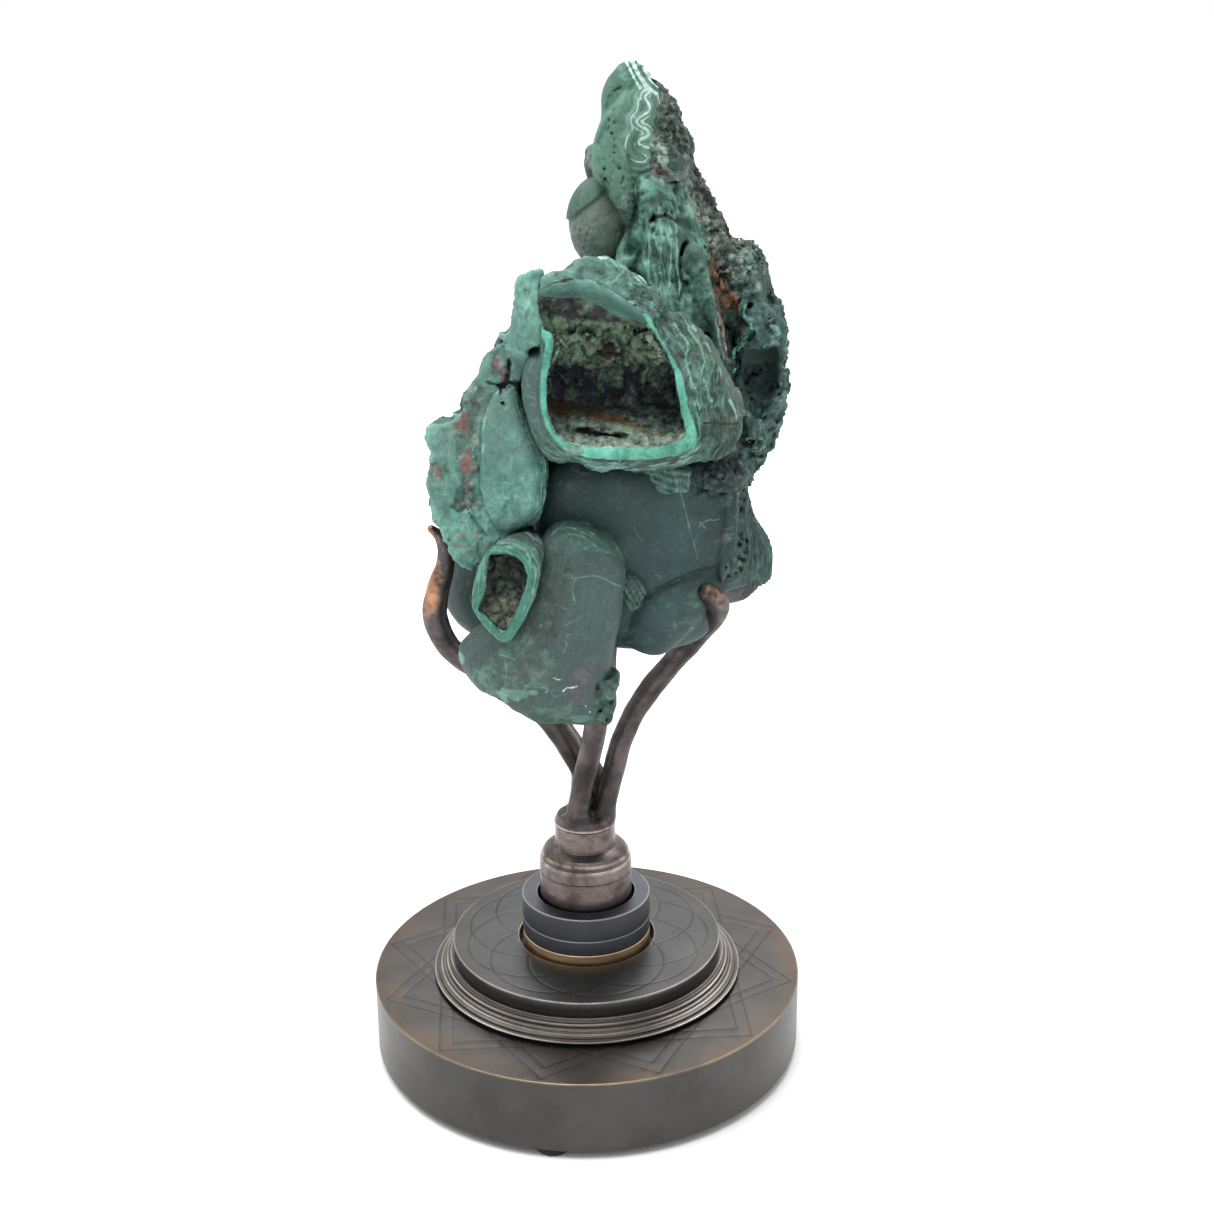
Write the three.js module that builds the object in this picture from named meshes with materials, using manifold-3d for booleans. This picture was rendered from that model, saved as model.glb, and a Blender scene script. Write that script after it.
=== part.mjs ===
// A malachite specimen held by four bent rods on a turned round stand.
// Millimetres, +Z up, +Y away from the front; the origin is on the floor under the stand's axis.
import * as THREE from 'three';
import { mergeVertices } from 'three/addons/utils/BufferGeometryUtils.js';
import Module from 'manifold-3d';

const wasm = await Module();
wasm.setup();

// ---------------------------------------------------------------- driving dimensions
const FOOT_HEIGHT = 3;
const FOOT_RADIUS = 6;
const FOOT_CIRCLE = 69.5;
const FOOT_TURN = THREE.MathUtils.degToRad(-99);
const FOOT_COUNT = 4;

const BASE_RADIUS = 76.2;
const BASE_TOP = 28.6;
const EDGE_BREAK = 0.6;

const PLATE_RADIUS = 55;
const PLATE_SHADOW_RADIUS = 53.5;
const PLATE_LIP = 30.2;
const PLATE_TOP = 35.8;

const DISC_RADIUS = 47.9;
const DISC_HOLE_RADIUS = 24.2;
const DISC_TOP = 40.9;

const RING_RADIUS = 22.8;
const RING_BORE = 17.25;
const COLLAR_TOP = 44;
const LOWER_RING_TOP = 49.5;
const UPPER_RING_TOP = 58.1;

const POST_RADIUS = 16.3;
const POST_SHOULDER = 71.8;
const NECK_RADIUS = 10.6;
const NECK_FOOT = 77;
const POST_TOP = 88;

const ROD_SIDES = 8;
const ROD_STEP = 6;
const ROD_FOOT = POST_TOP + 0.2;
const SEAT_GAP = 0.3;

const FINE = 56;
const MEDIUM = 40;

// ---------------------------------------------------------------- finishes
const finish = (color, roughness, metalness) =>
  new THREE.MeshStandardMaterial({ color, roughness, metalness });

const STONE = finish('#47685c', 0.7, 0);
const BRONZE = finish('#423b34', 0.4, 0.9);
const DARK_STEEL = finish('#3a3e43', 0.45, 0.8);
const BRASS = finish('#7b6545', 0.35, 1);
const ROD_BRONZE = finish('#5b5250', 0.45, 0.9);
const RUBBER = finish('#151515', 0.9, 0);

// ---------------------------------------------------------------- helpers
// A closed solid for joining and cutting, from any closed three.js geometry.
function solid(geometry) {
  const bare = geometry.clone();
  bare.deleteAttribute('normal');
  bare.deleteAttribute('uv');
  const merged = mergeVertices(bare, 1e-4);
  const corners = merged.index.array;
  const kept = [];
  for (let i = 0; i < corners.length; i += 3) {
    const [a, b, c] = [corners[i], corners[i + 1], corners[i + 2]];
    if (a !== b && b !== c && c !== a) kept.push(a, b, c);
  }
  return new wasm.Manifold(new wasm.Mesh({
    numProp: 3,
    vertProperties: new Float32Array(merged.attributes.position.array),
    triVerts: new Uint32Array(kept),
  }));
}

function geometryOf(manifold) {
  const mesh = manifold.getMesh();
  const geometry = new THREE.BufferGeometry();
  geometry.setAttribute('position', new THREE.BufferAttribute(mesh.vertProperties, 3));
  geometry.setIndex(new THREE.BufferAttribute(mesh.triVerts, 1));
  geometry.computeVertexNormals();
  return geometry;
}

// A turned piece: [radius, height] points up the outside, spun about Z.
function turned(profile, segments) {
  const points = profile.map(([radius, height]) => new THREE.Vector2(radius, height));
  return new THREE.LatheGeometry(points, segments).rotateX(Math.PI / 2);
}

// A flat turned ring with broken edges and a bore.
function ring(bore, radius, bottom, top, segments) {
  return turned([
    [bore, bottom],
    [radius, bottom],
    [radius, top - EDGE_BREAK],
    [radius - EDGE_BREAK, top],
    [bore, top],
    [bore, bottom],
  ], segments);
}

function thicknessAt(taper, along) {
  const next = taper.findIndex(([place]) => place >= along);
  if (next <= 0) return taper[0][1];
  const [placeA, radiusA] = taper[next - 1];
  const [placeB, radiusB] = taper[next];
  return THREE.MathUtils.mapLinear(along, placeA, placeB, radiusA, radiusB);
}

// A rod bent along a route; taper lists [place along the rod, radius].
function bentRod({ route, taper }, grow = 0) {
  const curve = new THREE.CatmullRomCurve3(route.map((point) => new THREE.Vector3(...point)));
  const steps = Math.round(curve.getLength() / ROD_STEP);
  const frames = curve.computeFrenetFrames(steps, false);
  const profile = [new THREE.Vector2(0, 0)];
  for (let i = 0; i <= steps; i += 1) {
    profile.push(new THREE.Vector2(thicknessAt(taper, i / steps) + grow, i));
  }
  profile.push(new THREE.Vector2(0, steps));
  const geometry = new THREE.LatheGeometry(profile, ROD_SIDES);
  const vertex = geometry.attributes.position;
  const centre = new THREE.Vector3();
  for (let i = 0; i < vertex.count; i += 1) {
    const step = Math.round(vertex.getY(i));
    const across = vertex.getX(i);
    const along = vertex.getZ(i);
    curve.getPointAt(step / steps, centre);
    centre.addScaledVector(frames.binormals[step], across);
    centre.addScaledVector(frames.normals[step], along);
    vertex.setXYZ(i, centre.x, centre.y, centre.z);
  }
  return geometry;
}

// A rounded lump of stone: centre, half-axes, and a lean in the front view in degrees.
function lobe(detail, [x, y, z], [halfX, halfY, halfZ], lean) {
  return solid(new THREE.IcosahedronGeometry(1, detail)
    .scale(halfX, halfY, halfZ)
    .rotateY(THREE.MathUtils.degToRad(lean))
    .translate(x, y, z));
}

// A pebble with a given outline in the front view, from y = front back to y = back. Its top
// sinks towards the back by the given slope, and its underside stays level.
function pebble(outline, { front, back, round, steps, sink = 0 }) {
  const loop = new THREE.CatmullRomCurve3(
    outline.map(([x, z]) => new THREE.Vector3(x, z, 0)), true, 'centripetal');
  const shape = new THREE.Shape(loop.getPoints(outline.length * 2));
  const geometry = new THREE.ExtrudeGeometry(shape, {
    depth: back - front - 2 * round,
    bevelEnabled: true,
    bevelThickness: round,
    bevelSize: round,
    bevelOffset: -round,
    bevelSegments: steps,
    steps: 1,
  });
  geometry.rotateX(Math.PI / 2).translate(0, back - round, 0);
  const heights = outline.map(([, z]) => z);
  const low = Math.min(...heights);
  const tall = Math.max(...heights) - low;
  const vertex = geometry.attributes.position;
  for (let i = 0; i < vertex.count; i += 1) {
    const drop = sink * (vertex.getY(i) - front) * ((vertex.getZ(i) - low) / tall);
    vertex.setZ(i, vertex.getZ(i) - drop);
  }
  return solid(geometry);
}

// ---------------------------------------------------------------- the four rods
const RODS = {
  prong_front: {
    route: [[-2.4, -5, ROD_FOOT], [-2.4, -5, 90], [-1.2, -6.3, 98], [0.3, -8, 106],
      [2.9, -12, 119], [4.9, -15.5, 131], [7.5, -17, 146], [9, -17, 158]],
    taper: [[0, 3.9], [0.2, 3.9], [0.8, 4], [1, 3]],
  },
  prong_right: {
    route: [[6.8, -1.6, ROD_FOOT], [6.8, -1.6, 90], [10.2, 0.8, 104], [13.2, 1, 115],
      [17.6, 0, 126], [23.5, -2, 136], [30, -6, 146], [37, -12, 157], [43, -19, 167],
      [44, -26, 174], [40, -32, 180]],
    taper: [[0, 3.9], [0.1, 4], [0.8, 4], [0.95, 4], [1, 3]],
  },
  prong_left: {
    route: [[-1.6, 3.5, ROD_FOOT], [-1.6, 3.5, 90], [-1, 3.7, 97], [-1, 3.6, 101],
      [-2.3, 3, 106], [-4.8, 2, 112], [-7.8, 0.8, 117.5], [-11.3, -0.8, 123.5],
      [-18, -2.2, 131], [-27, -3.5, 138], [-36, -6, 145.5], [-42, -9, 151.5],
      [-46, -12, 158], [-48, -15, 167], [-46.5, -18, 177], [-43.5, -20, 186],
      [-43, -22, 192], [-44.5, -24, 197], [-47, -26, 200]],
    taper: [[0, 3.4], [0.08, 3.8], [0.2, 4.1], [0.75, 4.2], [0.9, 3], [1, 1.2]],
  },
  prong_back: {
    route: [[5.2, 6.2, ROD_FOOT], [5.2, 6.2, 90], [5, 8.4, 94.5], [3.4, 11.6, 98.5],
      [-0.5, 16.5, 103], [-5, 22, 106.5], [-8.9, 28.5, 110.5], [-12, 34, 118],
      [-13, 38, 130], [-11.5, 41, 144], [-8, 42, 158], [-5, 40, 169], [-3, 37, 176]],
    taper: [[0, 3.4], [0.1, 3.7], [0.3, 4.1], [0.8, 4.1], [1, 2.6]],
  },
};

// ---------------------------------------------------------------- the stone
// Outlines are [x, z] in the front view.
const TUBE_OUTLINE = [[-9, 282], [5, 289], [22, 280], [38, 267], [49, 249], [51, 234],
  [42, 225], [19, 221], [-3, 225], [-14, 240], [-13, 262]];
const TUBE_HOLLOW = [[-10, 280], [7, 279], [19, 272], [28, 259], [35, 243], [36, 232],
  [19, 228], [5, 228], [-7, 236], [-10, 246], [-9, 262]];
const PLATE_OUTLINE = [[-18, 281], [-8, 279], [-11, 252], [-8, 222], [-12, 204], [-24, 194],
  [-36, 188], [-43, 200], [-47, 214], [-47, 235], [-38, 239], [-27, 262], [-20, 266]];
const FRONT_LOBE_OUTLINE = [[-5, 204], [7, 203], [14, 188], [13, 165], [10, 141], [0, 138],
  [-16, 144], [-33, 153], [-40, 163], [-30, 173], [-16, 178]];
const SMALL_GEODE_OUTLINE = [[-24, 202], [-13, 201], [-10, 187], [-15, 174], [-22, 169],
  [-33, 180], [-32, 192]];
const SMALL_HOLLOW = [[-29, 199], [-17, 198], [-14, 190], [-20, 175], [-31, 183]];
const BULK_OUTLINE = [[-10, 219], [20, 221], [50, 214], [58, 200], [58, 184], [48, 167],
  [38, 158], [24, 153], [4, 154], [-9, 162]];

const FINE_LOBE = 3;
const PLAIN_LOBE = 2;
const STONE_LUMPS = [
  lobe(PLAIN_LOBE, [22, 8, 231], [36, 28, 55], -5),
  lobe(PLAIN_LOBE, [33, 4, 292], [13.5, 17, 41], -29),
  lobe(PLAIN_LOBE, [26, 2, 319], [9.5, 12, 17], -24),
  lobe(PLAIN_LOBE, [50, 8, 270], [14.5, 16, 17], 0),
  lobe(FINE_LOBE, [12, -10, 311], [8, 10, 23], 3),
  lobe(PLAIN_LOBE, [16, -2, 328], [7.5, 8.5, 12.5], 0),
  lobe(PLAIN_LOBE, [10, 5, 291], [12, 14, 16], 0),
  lobe(PLAIN_LOBE, [60, 6, 254], [9.5, 14, 15], 0),
  lobe(PLAIN_LOBE, [58, 15, 238], [11, 15, 27], 2),
  lobe(PLAIN_LOBE, [50, -3, 181], [13.5, 16, 16], 10),
  lobe(PLAIN_LOBE, [32, -9, 276], [13, 12, 20], -16),
  lobe(PLAIN_LOBE, [43, -12, 266], [9, 11, 16], -8),
  lobe(PLAIN_LOBE, [-28, 4, 172], [19, 18, 20], 8),
  lobe(PLAIN_LOBE, [0, 22, 178], [20, 17, 22], 0),
  lobe(PLAIN_LOBE, [-15, 18, 208], [21, 20, 26], 0),
  lobe(PLAIN_LOBE, [26, 27, 196], [24, 17, 28], 0),
  lobe(PLAIN_LOBE, [0, 22, 232], [19, 20, 26], 6),
  lobe(PLAIN_LOBE, [32, 25, 248], [22, 18, 28], 0),
  pebble(TUBE_OUTLINE, { front: -46, back: 4, round: 4, steps: 2, sink: 0.36 }),
  pebble(PLATE_OUTLINE, { front: -38, back: -8, round: 3, steps: 1, sink: 0.36 }),
  pebble(FRONT_LOBE_OUTLINE, { front: -44, back: -18, round: 6, steps: 2, sink: 0.1 }),
  pebble(SMALL_GEODE_OUTLINE, { front: -50, back: -20, round: 2, steps: 1, sink: 0.2 }),
  pebble(BULK_OUTLINE, { front: -27, back: 32, round: 10, steps: 2 }),
];
const STONE_HOLLOWS = [
  pebble(TUBE_HOLLOW, { front: -50, back: -6, round: 2, steps: 1, sink: 0.36 }),
  pebble(SMALL_HOLLOW, { front: -52, back: -34, round: 1, steps: 1, sink: 0.2 }),
];

function stone() {
  const seats = Object.values(RODS).map((rod) => solid(bentRod(rod, SEAT_GAP)));
  const whole = STONE_LUMPS.reduce((sum, lump) => sum.add(lump));
  const cut = [...STONE_HOLLOWS, ...seats].reduce((rest, tool) => rest.subtract(tool), whole);
  return geometryOf(cut);
}

// ---------------------------------------------------------------- the stand
const baseDisc = () => turned([
  [0, FOOT_HEIGHT],
  [BASE_RADIUS - EDGE_BREAK, FOOT_HEIGHT],
  [BASE_RADIUS, FOOT_HEIGHT + EDGE_BREAK],
  [BASE_RADIUS, BASE_TOP - EDGE_BREAK],
  [BASE_RADIUS - EDGE_BREAK, BASE_TOP],
  [0, BASE_TOP],
], FINE);

const steppedPlate = () => turned([
  [0, BASE_TOP],
  [PLATE_SHADOW_RADIUS, BASE_TOP],
  [PLATE_SHADOW_RADIUS, PLATE_LIP - 0.6],
  [PLATE_RADIUS, PLATE_LIP - 0.6],
  [PLATE_RADIUS, PLATE_LIP],
  [52.5, 31.8],
  [51.2, 32.3],
  [50.2, 34],
  [49.2, PLATE_TOP],
  [0, PLATE_TOP],
], MEDIUM);

const post = () => turned([
  [0, PLATE_TOP],
  [POST_RADIUS, PLATE_TOP],
  [POST_RADIUS, POST_SHOULDER],
  [15.4, 74.2],
  [13.4, 76.2],
  [NECK_RADIUS, NECK_FOOT],
  [NECK_RADIUS, 85.7],
  [9.8, POST_TOP],
  [0, POST_TOP],
], MEDIUM);

const foot = () => new THREE.CylinderGeometry(FOOT_RADIUS, FOOT_RADIUS, FOOT_HEIGHT, 12)
  .rotateX(Math.PI / 2)
  .translate(0, 0, FOOT_HEIGHT / 2);

// ---------------------------------------------------------------- assembly
const specimen = new THREE.Group();

function place(name, geometry, material) {
  const mesh = new THREE.Mesh(geometry, material);
  mesh.name = name;
  specimen.add(mesh);
  return mesh;
}

for (let i = 0; i < FOOT_COUNT; i += 1) {
  const turn = FOOT_TURN + (i * 2 * Math.PI) / FOOT_COUNT;
  place(`foot_${i + 1}`, foot(), RUBBER)
    .position.set(FOOT_CIRCLE * Math.cos(turn), FOOT_CIRCLE * Math.sin(turn), 0);
}
place('base_disc', baseDisc(), BRONZE);
place('stepped_plate', steppedPlate(), BRONZE);
place('rosette_disc', ring(DISC_HOLE_RADIUS, DISC_RADIUS, PLATE_TOP, DISC_TOP, MEDIUM), BRONZE);
place('brass_collar', ring(RING_BORE, RING_RADIUS, PLATE_TOP, COLLAR_TOP, MEDIUM), BRASS);
place('lower_ring', ring(RING_BORE, RING_RADIUS, COLLAR_TOP, LOWER_RING_TOP, MEDIUM), DARK_STEEL);
place('upper_ring', ring(RING_BORE, RING_RADIUS, LOWER_RING_TOP, UPPER_RING_TOP, MEDIUM), DARK_STEEL);
place('ferrule', post(), ROD_BRONZE);
for (const [name, rod] of Object.entries(RODS)) place(name, bentRod(rod), ROD_BRONZE);
place('malachite', stone(), STONE);

export default specimen;
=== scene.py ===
# A malachite specimen held by four bent bronze rods on a turned, patinated bronze stand.
# The row frame: metres, +Z up, +Y away from the front, origin on the floor under the stand.
# Shapes are worked out in millimetres and made metres when their mesh is written.
import math

import bmesh
import bpy
import numpy as np
from mathutils import Matrix, Vector


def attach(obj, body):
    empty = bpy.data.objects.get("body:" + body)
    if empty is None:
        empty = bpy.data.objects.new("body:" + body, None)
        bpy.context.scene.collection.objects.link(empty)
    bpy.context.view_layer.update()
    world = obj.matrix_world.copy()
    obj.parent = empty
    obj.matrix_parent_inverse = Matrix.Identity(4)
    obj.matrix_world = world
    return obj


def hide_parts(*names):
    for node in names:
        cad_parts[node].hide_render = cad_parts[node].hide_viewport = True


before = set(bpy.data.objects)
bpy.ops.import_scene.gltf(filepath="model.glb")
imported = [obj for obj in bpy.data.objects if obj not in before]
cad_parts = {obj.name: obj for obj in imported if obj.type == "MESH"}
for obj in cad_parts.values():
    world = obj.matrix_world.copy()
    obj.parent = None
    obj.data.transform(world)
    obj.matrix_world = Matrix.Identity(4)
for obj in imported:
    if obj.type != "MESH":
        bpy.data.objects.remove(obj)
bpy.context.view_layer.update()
MM = 0.001

# ---------------------------------------------------------------- small helpers


def linear(hex_colour):
    """An sRGB hex colour as linear RGBA."""
    parts = [int(hex_colour[i:i + 2], 16) / 255 for i in (1, 3, 5)]
    return [c / 12.92 if c <= 0.04045 else ((c + 0.055) / 1.055) ** 2.4 for c in parts] + [1.0]


def plug(tree, made, links):
    """Gives a node's inputs their values, or links them to other nodes' sockets."""
    for socket, value in links.items():
        if isinstance(value, bpy.types.NodeSocket):
            tree.links.new(value, made.inputs[socket])
        else:
            made.inputs[socket].default_value = value


def node(tree, kind, links=None, **settings):
    """Adds a node: settings are its properties, links its inputs, each a value or a socket."""
    made = tree.nodes.new(kind)
    for key, value in settings.items():
        setattr(made, key, value)
    plug(tree, made, links or {})
    return made


def new_material(name):
    """An empty node material: gives its tree, its Principled shader and Object coordinates."""
    material = bpy.data.materials.new(name)
    material.use_nodes = True
    tree = material.node_tree
    tree.nodes.clear()
    shader = node(tree, "ShaderNodeBsdfPrincipled")
    node(tree, "ShaderNodeOutputMaterial", {"Surface": shader.outputs[0]})
    place = node(tree, "ShaderNodeTexCoord").outputs["Object"]
    return material, tree, shader, place


def finish_piece(name, mesh, material, replaces):
    """Puts a mesh in the scene as a finished piece that stands for its CAD nodes."""
    mesh.materials.append(material)
    piece = bpy.data.objects.new(name, mesh)
    bpy.context.scene.collection.objects.link(piece)
    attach(piece, "root")
    if replaces:
        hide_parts(*replaces)
    return piece


# ---------------------------------------------------------------- camera, floor and light

CAMERA_PLACE = (0.0085, -0.5409, 0.3461)
LOOKS_DOWN = 18.56  # degrees
ROLL = -0.555  # degrees
camera = bpy.data.objects.new("camera", bpy.data.cameras.new("camera"))
camera.data.sensor_width = 36
camera.data.lens = 50.115
camera.data.clip_start = 0.02
camera.data.clip_end = 50
camera.matrix_world = (
    Matrix.Translation(CAMERA_PLACE)
    @ Matrix.Rotation(math.radians(90 - LOOKS_DOWN), 4, "X")
    @ Matrix.Rotation(math.radians(ROLL), 4, "Z")
)
bpy.context.scene.collection.objects.link(camera)
bpy.context.scene.camera = camera
bpy.context.scene.view_settings.view_transform = "Standard"

# A white sweep of matt paper
FLOOR_HALF = 3  # m
paper, paper_tree, paper_shader, _ = new_material("matt_white_paper")
plug(paper_tree, paper_shader, {
    "Base Color": linear("#fbfbfa"), "Roughness": 0.9, "Specular IOR Level": 0.1})
floor_shape = bmesh.new()
bmesh.ops.create_grid(floor_shape, x_segments=2, y_segments=2, size=FLOOR_HALF)
wall = bmesh.ops.extrude_edge_only(
    floor_shape,
    edges=[e for e in floor_shape.edges
           if min(v.co.y for v in e.verts) > FLOOR_HALF - 0.1])
bmesh.ops.translate(floor_shape, vec=(0, 0, FLOOR_HALF),
                    verts=[v for v in wall["geom"] if isinstance(v, bmesh.types.BMVert)])
corner = [e for e in floor_shape.edges
          if all(v.co.y > FLOOR_HALF - 0.1 and v.co.z < 0.1 for v in e.verts)]
bmesh.ops.bevel(floor_shape, geom=corner, offset=1.6, offset_type="OFFSET", segments=16,
                profile=0.5, affect="EDGES", material=-1)
floor_mesh = bpy.data.meshes.new("floor")
floor_shape.to_mesh(floor_mesh)
floor_shape.free()
floor_mesh.polygons.foreach_set("use_smooth", [True] * len(floor_mesh.polygons))
floor_mesh.materials.append(paper)
floor = bpy.data.objects.new("floor", floor_mesh)
bpy.context.scene.collection.objects.link(floor)

# A white tent all round, a little darker towards the viewer's side
world = bpy.data.worlds.new("studio")
bpy.context.scene.world = world
world.use_nodes = True
sky = world.node_tree
sky.nodes.clear()
ray = node(sky, "ShaderNodeTexCoord").outputs["Generated"]
toward = node(sky, "ShaderNodeSeparateXYZ", {0: ray})
side = node(sky, "ShaderNodeMapRange", {
    "Value": toward.outputs["Y"], "From Min": -1.0, "From Max": 0.1, "To Min": 0.35, "To Max": 1.0,
}, interpolation_type="SMOOTHSTEP")
shade = node(sky, "ShaderNodeMapRange", {
    "Value": toward.outputs["Z"], "From Min": 0.0, "From Max": 0.9, "To Min": 0.0, "To Max": 1.0,
}, interpolation_type="SMOOTHSTEP")
lift = node(sky, "ShaderNodeMix", {0: shade.outputs[0], 2: side.outputs[0], 3: 1.0})
glow = node(sky, "ShaderNodeBackground", {"Color": linear("#fdfdff"), "Strength": lift.outputs[0]})
node(sky, "ShaderNodeOutputWorld", {"Surface": glow.outputs[0]})


def soft_light(name, place, size, power, target=(0.01, 0, 0.2)):
    """A round softbox, its size in metres and its power in watts, aimed at the target."""
    lamp = bpy.data.lights.new(name, "AREA")
    lamp.shape = "DISK"
    lamp.size = size
    lamp.energy = power
    holder = bpy.data.objects.new(name, lamp)
    holder.location = place
    aim = Vector(target) - Vector(place)
    holder.rotation_euler = aim.to_track_quat("-Z", "Y").to_euler()
    bpy.context.scene.collection.objects.link(holder)


soft_light("top_softbox", (-0.25, -0.35, 1.5), 1.0, 16)
soft_light("floor_wash", (0.1, 0.9, 1.3), 1.2, 14, (0.0, 0.3, 0.0))
soft_light("back_wash", (0.0, 1.2, 2.2), 1.6, 8, (0.0, 3.0, 1.6))

# ---------------------------------------------------------------- lines and turned shapes


def curve_through(points, step, closed=False):
    """Points every `step` mm on a centripetal Catmull-Rom curve through the given ones."""
    knots = [np.array(p, float) for p in points]
    if closed:
        knots = [knots[-1], *knots, knots[0], knots[1]]
    else:
        knots = [2 * knots[0] - knots[1], *knots, 2 * knots[-1] - knots[-2]]
    fine = []
    for a, b, c, d in zip(knots, knots[1:], knots[2:], knots[3:]):
        t1 = max(np.linalg.norm(b - a), 1e-6) ** 0.5
        t2 = t1 + max(np.linalg.norm(c - b), 1e-6) ** 0.5
        t3 = t2 + max(np.linalg.norm(d - c), 1e-6) ** 0.5
        for t in np.linspace(t1, t2, 12, endpoint=False):
            ab = (a * (t1 - t) + b * t) / t1
            bc = (b * (t2 - t) + c * (t - t1)) / (t2 - t1)
            cd = (c * (t3 - t) + d * (t - t2)) / (t3 - t2)
            abc = (ab * (t2 - t) + bc * t) / t2
            bcd = (bc * (t3 - t) + cd * (t - t1)) / (t3 - t1)
            fine.append((abc * (t2 - t) + bcd * (t - t1)) / (t2 - t1))
    fine.append(knots[-2])
    fine = np.array(fine)
    run = np.concatenate([[0], np.cumsum(np.linalg.norm(np.diff(fine, axis=0), axis=1))])
    count = max(2, round(run[-1] / step) + 1)
    wanted = np.linspace(0, run[-1], count)
    return np.stack([np.interp(wanted, run, fine[:, i]) for i in range(fine.shape[1])], axis=1)


def write_mesh(name, shape, angle=32):
    """Turns a bmesh in millimetres into a mesh in metres, smooth but for its sharp edges."""
    bmesh.ops.scale(shape, vec=(MM, MM, MM), verts=shape.verts)
    mesh = bpy.data.meshes.new(name)
    shape.to_mesh(mesh)
    shape.free()
    mesh.polygons.foreach_set("use_smooth", [True] * len(mesh.polygons))
    mesh.set_sharp_from_angle(angle=math.radians(angle))
    return mesh


def turn(outline, edge, steps=160, bevel_steps=3):
    """A bmesh spun about Z from [radius, height] points, its sharp corners rounded by `edge` mm."""
    shape = bmesh.new()
    points = [shape.verts.new((radius, 0, height)) for radius, height in outline]
    for a, b in zip(points, points[1:]):
        shape.edges.new((a, b))
    bmesh.ops.spin(shape, geom=shape.verts[:] + shape.edges[:], axis=(0, 0, 1), cent=(0, 0, 0),
                   angle=2 * math.pi, steps=steps, use_merge=True)
    bmesh.ops.remove_doubles(shape, verts=shape.verts, dist=1e-4)
    bmesh.ops.recalc_face_normals(shape, faces=shape.faces)
    corners = [e for e in shape.edges
               if len(e.link_faces) == 2 and e.calc_face_angle() > math.radians(20)
               and (e.verts[0].co.xy.length > 0.5 and e.verts[1].co.xy.length > 0.5)
               and abs(e.verts[0].co.z - e.verts[1].co.z) < 1e-4]
    if edge:
        bmesh.ops.bevel(shape, geom=corners, offset=edge, offset_type="OFFSET",
                        segments=bevel_steps, profile=0.5, affect="EDGES", material=-1,
                        clamp_overlap=True)
    return shape


def shade_flats(piece):
    """Keeps a turned piece's broad flat faces evenly shaded up to their rounded edges."""
    piece.modifiers.new("even_flats", "WEIGHTED_NORMAL").keep_sharp = True


def turned_piece(name, outline, edge, material, slot, replaces, **options):
    """A finished piece spun from its outline."""
    mesh = write_mesh(name, turn(outline, edge, **options))
    shade_flats(finish_piece(name, mesh, material, replaces))

# ---------------------------------------------------------------- the stand's metals

STAR_FIRST_NORMAL = -90 - 11.1 + 45
STAR_HALF_SIDES = (47.95, 52.3)
ROSETTE_CIRCLES = 9
ROSETTE_CIRCLE_RADIUS = 23.6
ROSETTE_CIRCLE_OUT = 20.0
ROSETTE_TOP = 40.9
GROOVE_HALF = 0.36
GROOVE_DEEP = 0.12


def metres_out(tree, place):
    """The distance from the stand's axis, and the height, as two sockets in metres."""
    flat = node(tree, "ShaderNodeVectorMath", {0: place, 1: (1, 1, 0)}, operation="MULTIPLY")
    out = node(tree, "ShaderNodeVectorMath", {0: flat.outputs[0]}, operation="LENGTH")
    up = node(tree, "ShaderNodeSeparateXYZ", {0: place})
    return out.outputs["Value"], up.outputs["Z"]


def edge_wear_and_highlight(tree, out, up, corners, reach):
    """1 on the turned corners [radius, height], falling to 0 `reach` mm away, where the metal is
    lightened for rubbed wear and as a painted highlight.
    """
    wear_and_highlight = None
    for radius, height in corners:
        across = node(tree, "ShaderNodeMath", {0: out, 1: radius * MM}, operation="SUBTRACT")
        along = node(tree, "ShaderNodeMath", {0: up, 1: height * MM}, operation="SUBTRACT")
        pair = node(tree, "ShaderNodeCombineXYZ", {0: across.outputs[0], 1: along.outputs[0]})
        away = node(tree, "ShaderNodeVectorMath", {0: pair.outputs[0]}, operation="LENGTH")
        near = node(tree, "ShaderNodeMapRange", {
            "Value": away.outputs["Value"], "From Min": 0.15 * MM, "From Max": reach * MM,
            "To Min": 1.0, "To Max": 0.0}, interpolation_type="SMOOTHSTEP").outputs[0]
        wear_and_highlight = near if wear_and_highlight is None else node(
            tree, "ShaderNodeMath", {0: wear_and_highlight, 1: near}, operation="MAXIMUM").outputs[0]
    return wear_and_highlight


def star_lines(tree, place):
    """The distance to the nearest engraved line of the three overlapping double squares."""
    nearest = None
    for square in range(3):
        turned = node(tree, "ShaderNodeVectorRotate", {
            "Vector": place, "Angle": math.radians(-STAR_FIRST_NORMAL - 30 * square)},
            rotation_type="Z_AXIS")
        spread = node(tree, "ShaderNodeVectorMath", {0: turned.outputs[0]}, operation="ABSOLUTE")
        parts = node(tree, "ShaderNodeSeparateXYZ", {0: spread.outputs[0]})
        reach = node(tree, "ShaderNodeMath", {0: parts.outputs[0], 1: parts.outputs[1]},
                     operation="MAXIMUM")
        for half in STAR_HALF_SIDES:
            gap = node(tree, "ShaderNodeMath", {0: reach.outputs[0], 1: half * MM},
                       operation="SUBTRACT")
            gap = node(tree, "ShaderNodeMath", {0: gap.outputs[0]}, operation="ABSOLUTE").outputs[0]
            nearest = gap if nearest is None else node(
                tree, "ShaderNodeMath", {0: nearest, 1: gap}, operation="MINIMUM").outputs[0]
    return nearest


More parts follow.
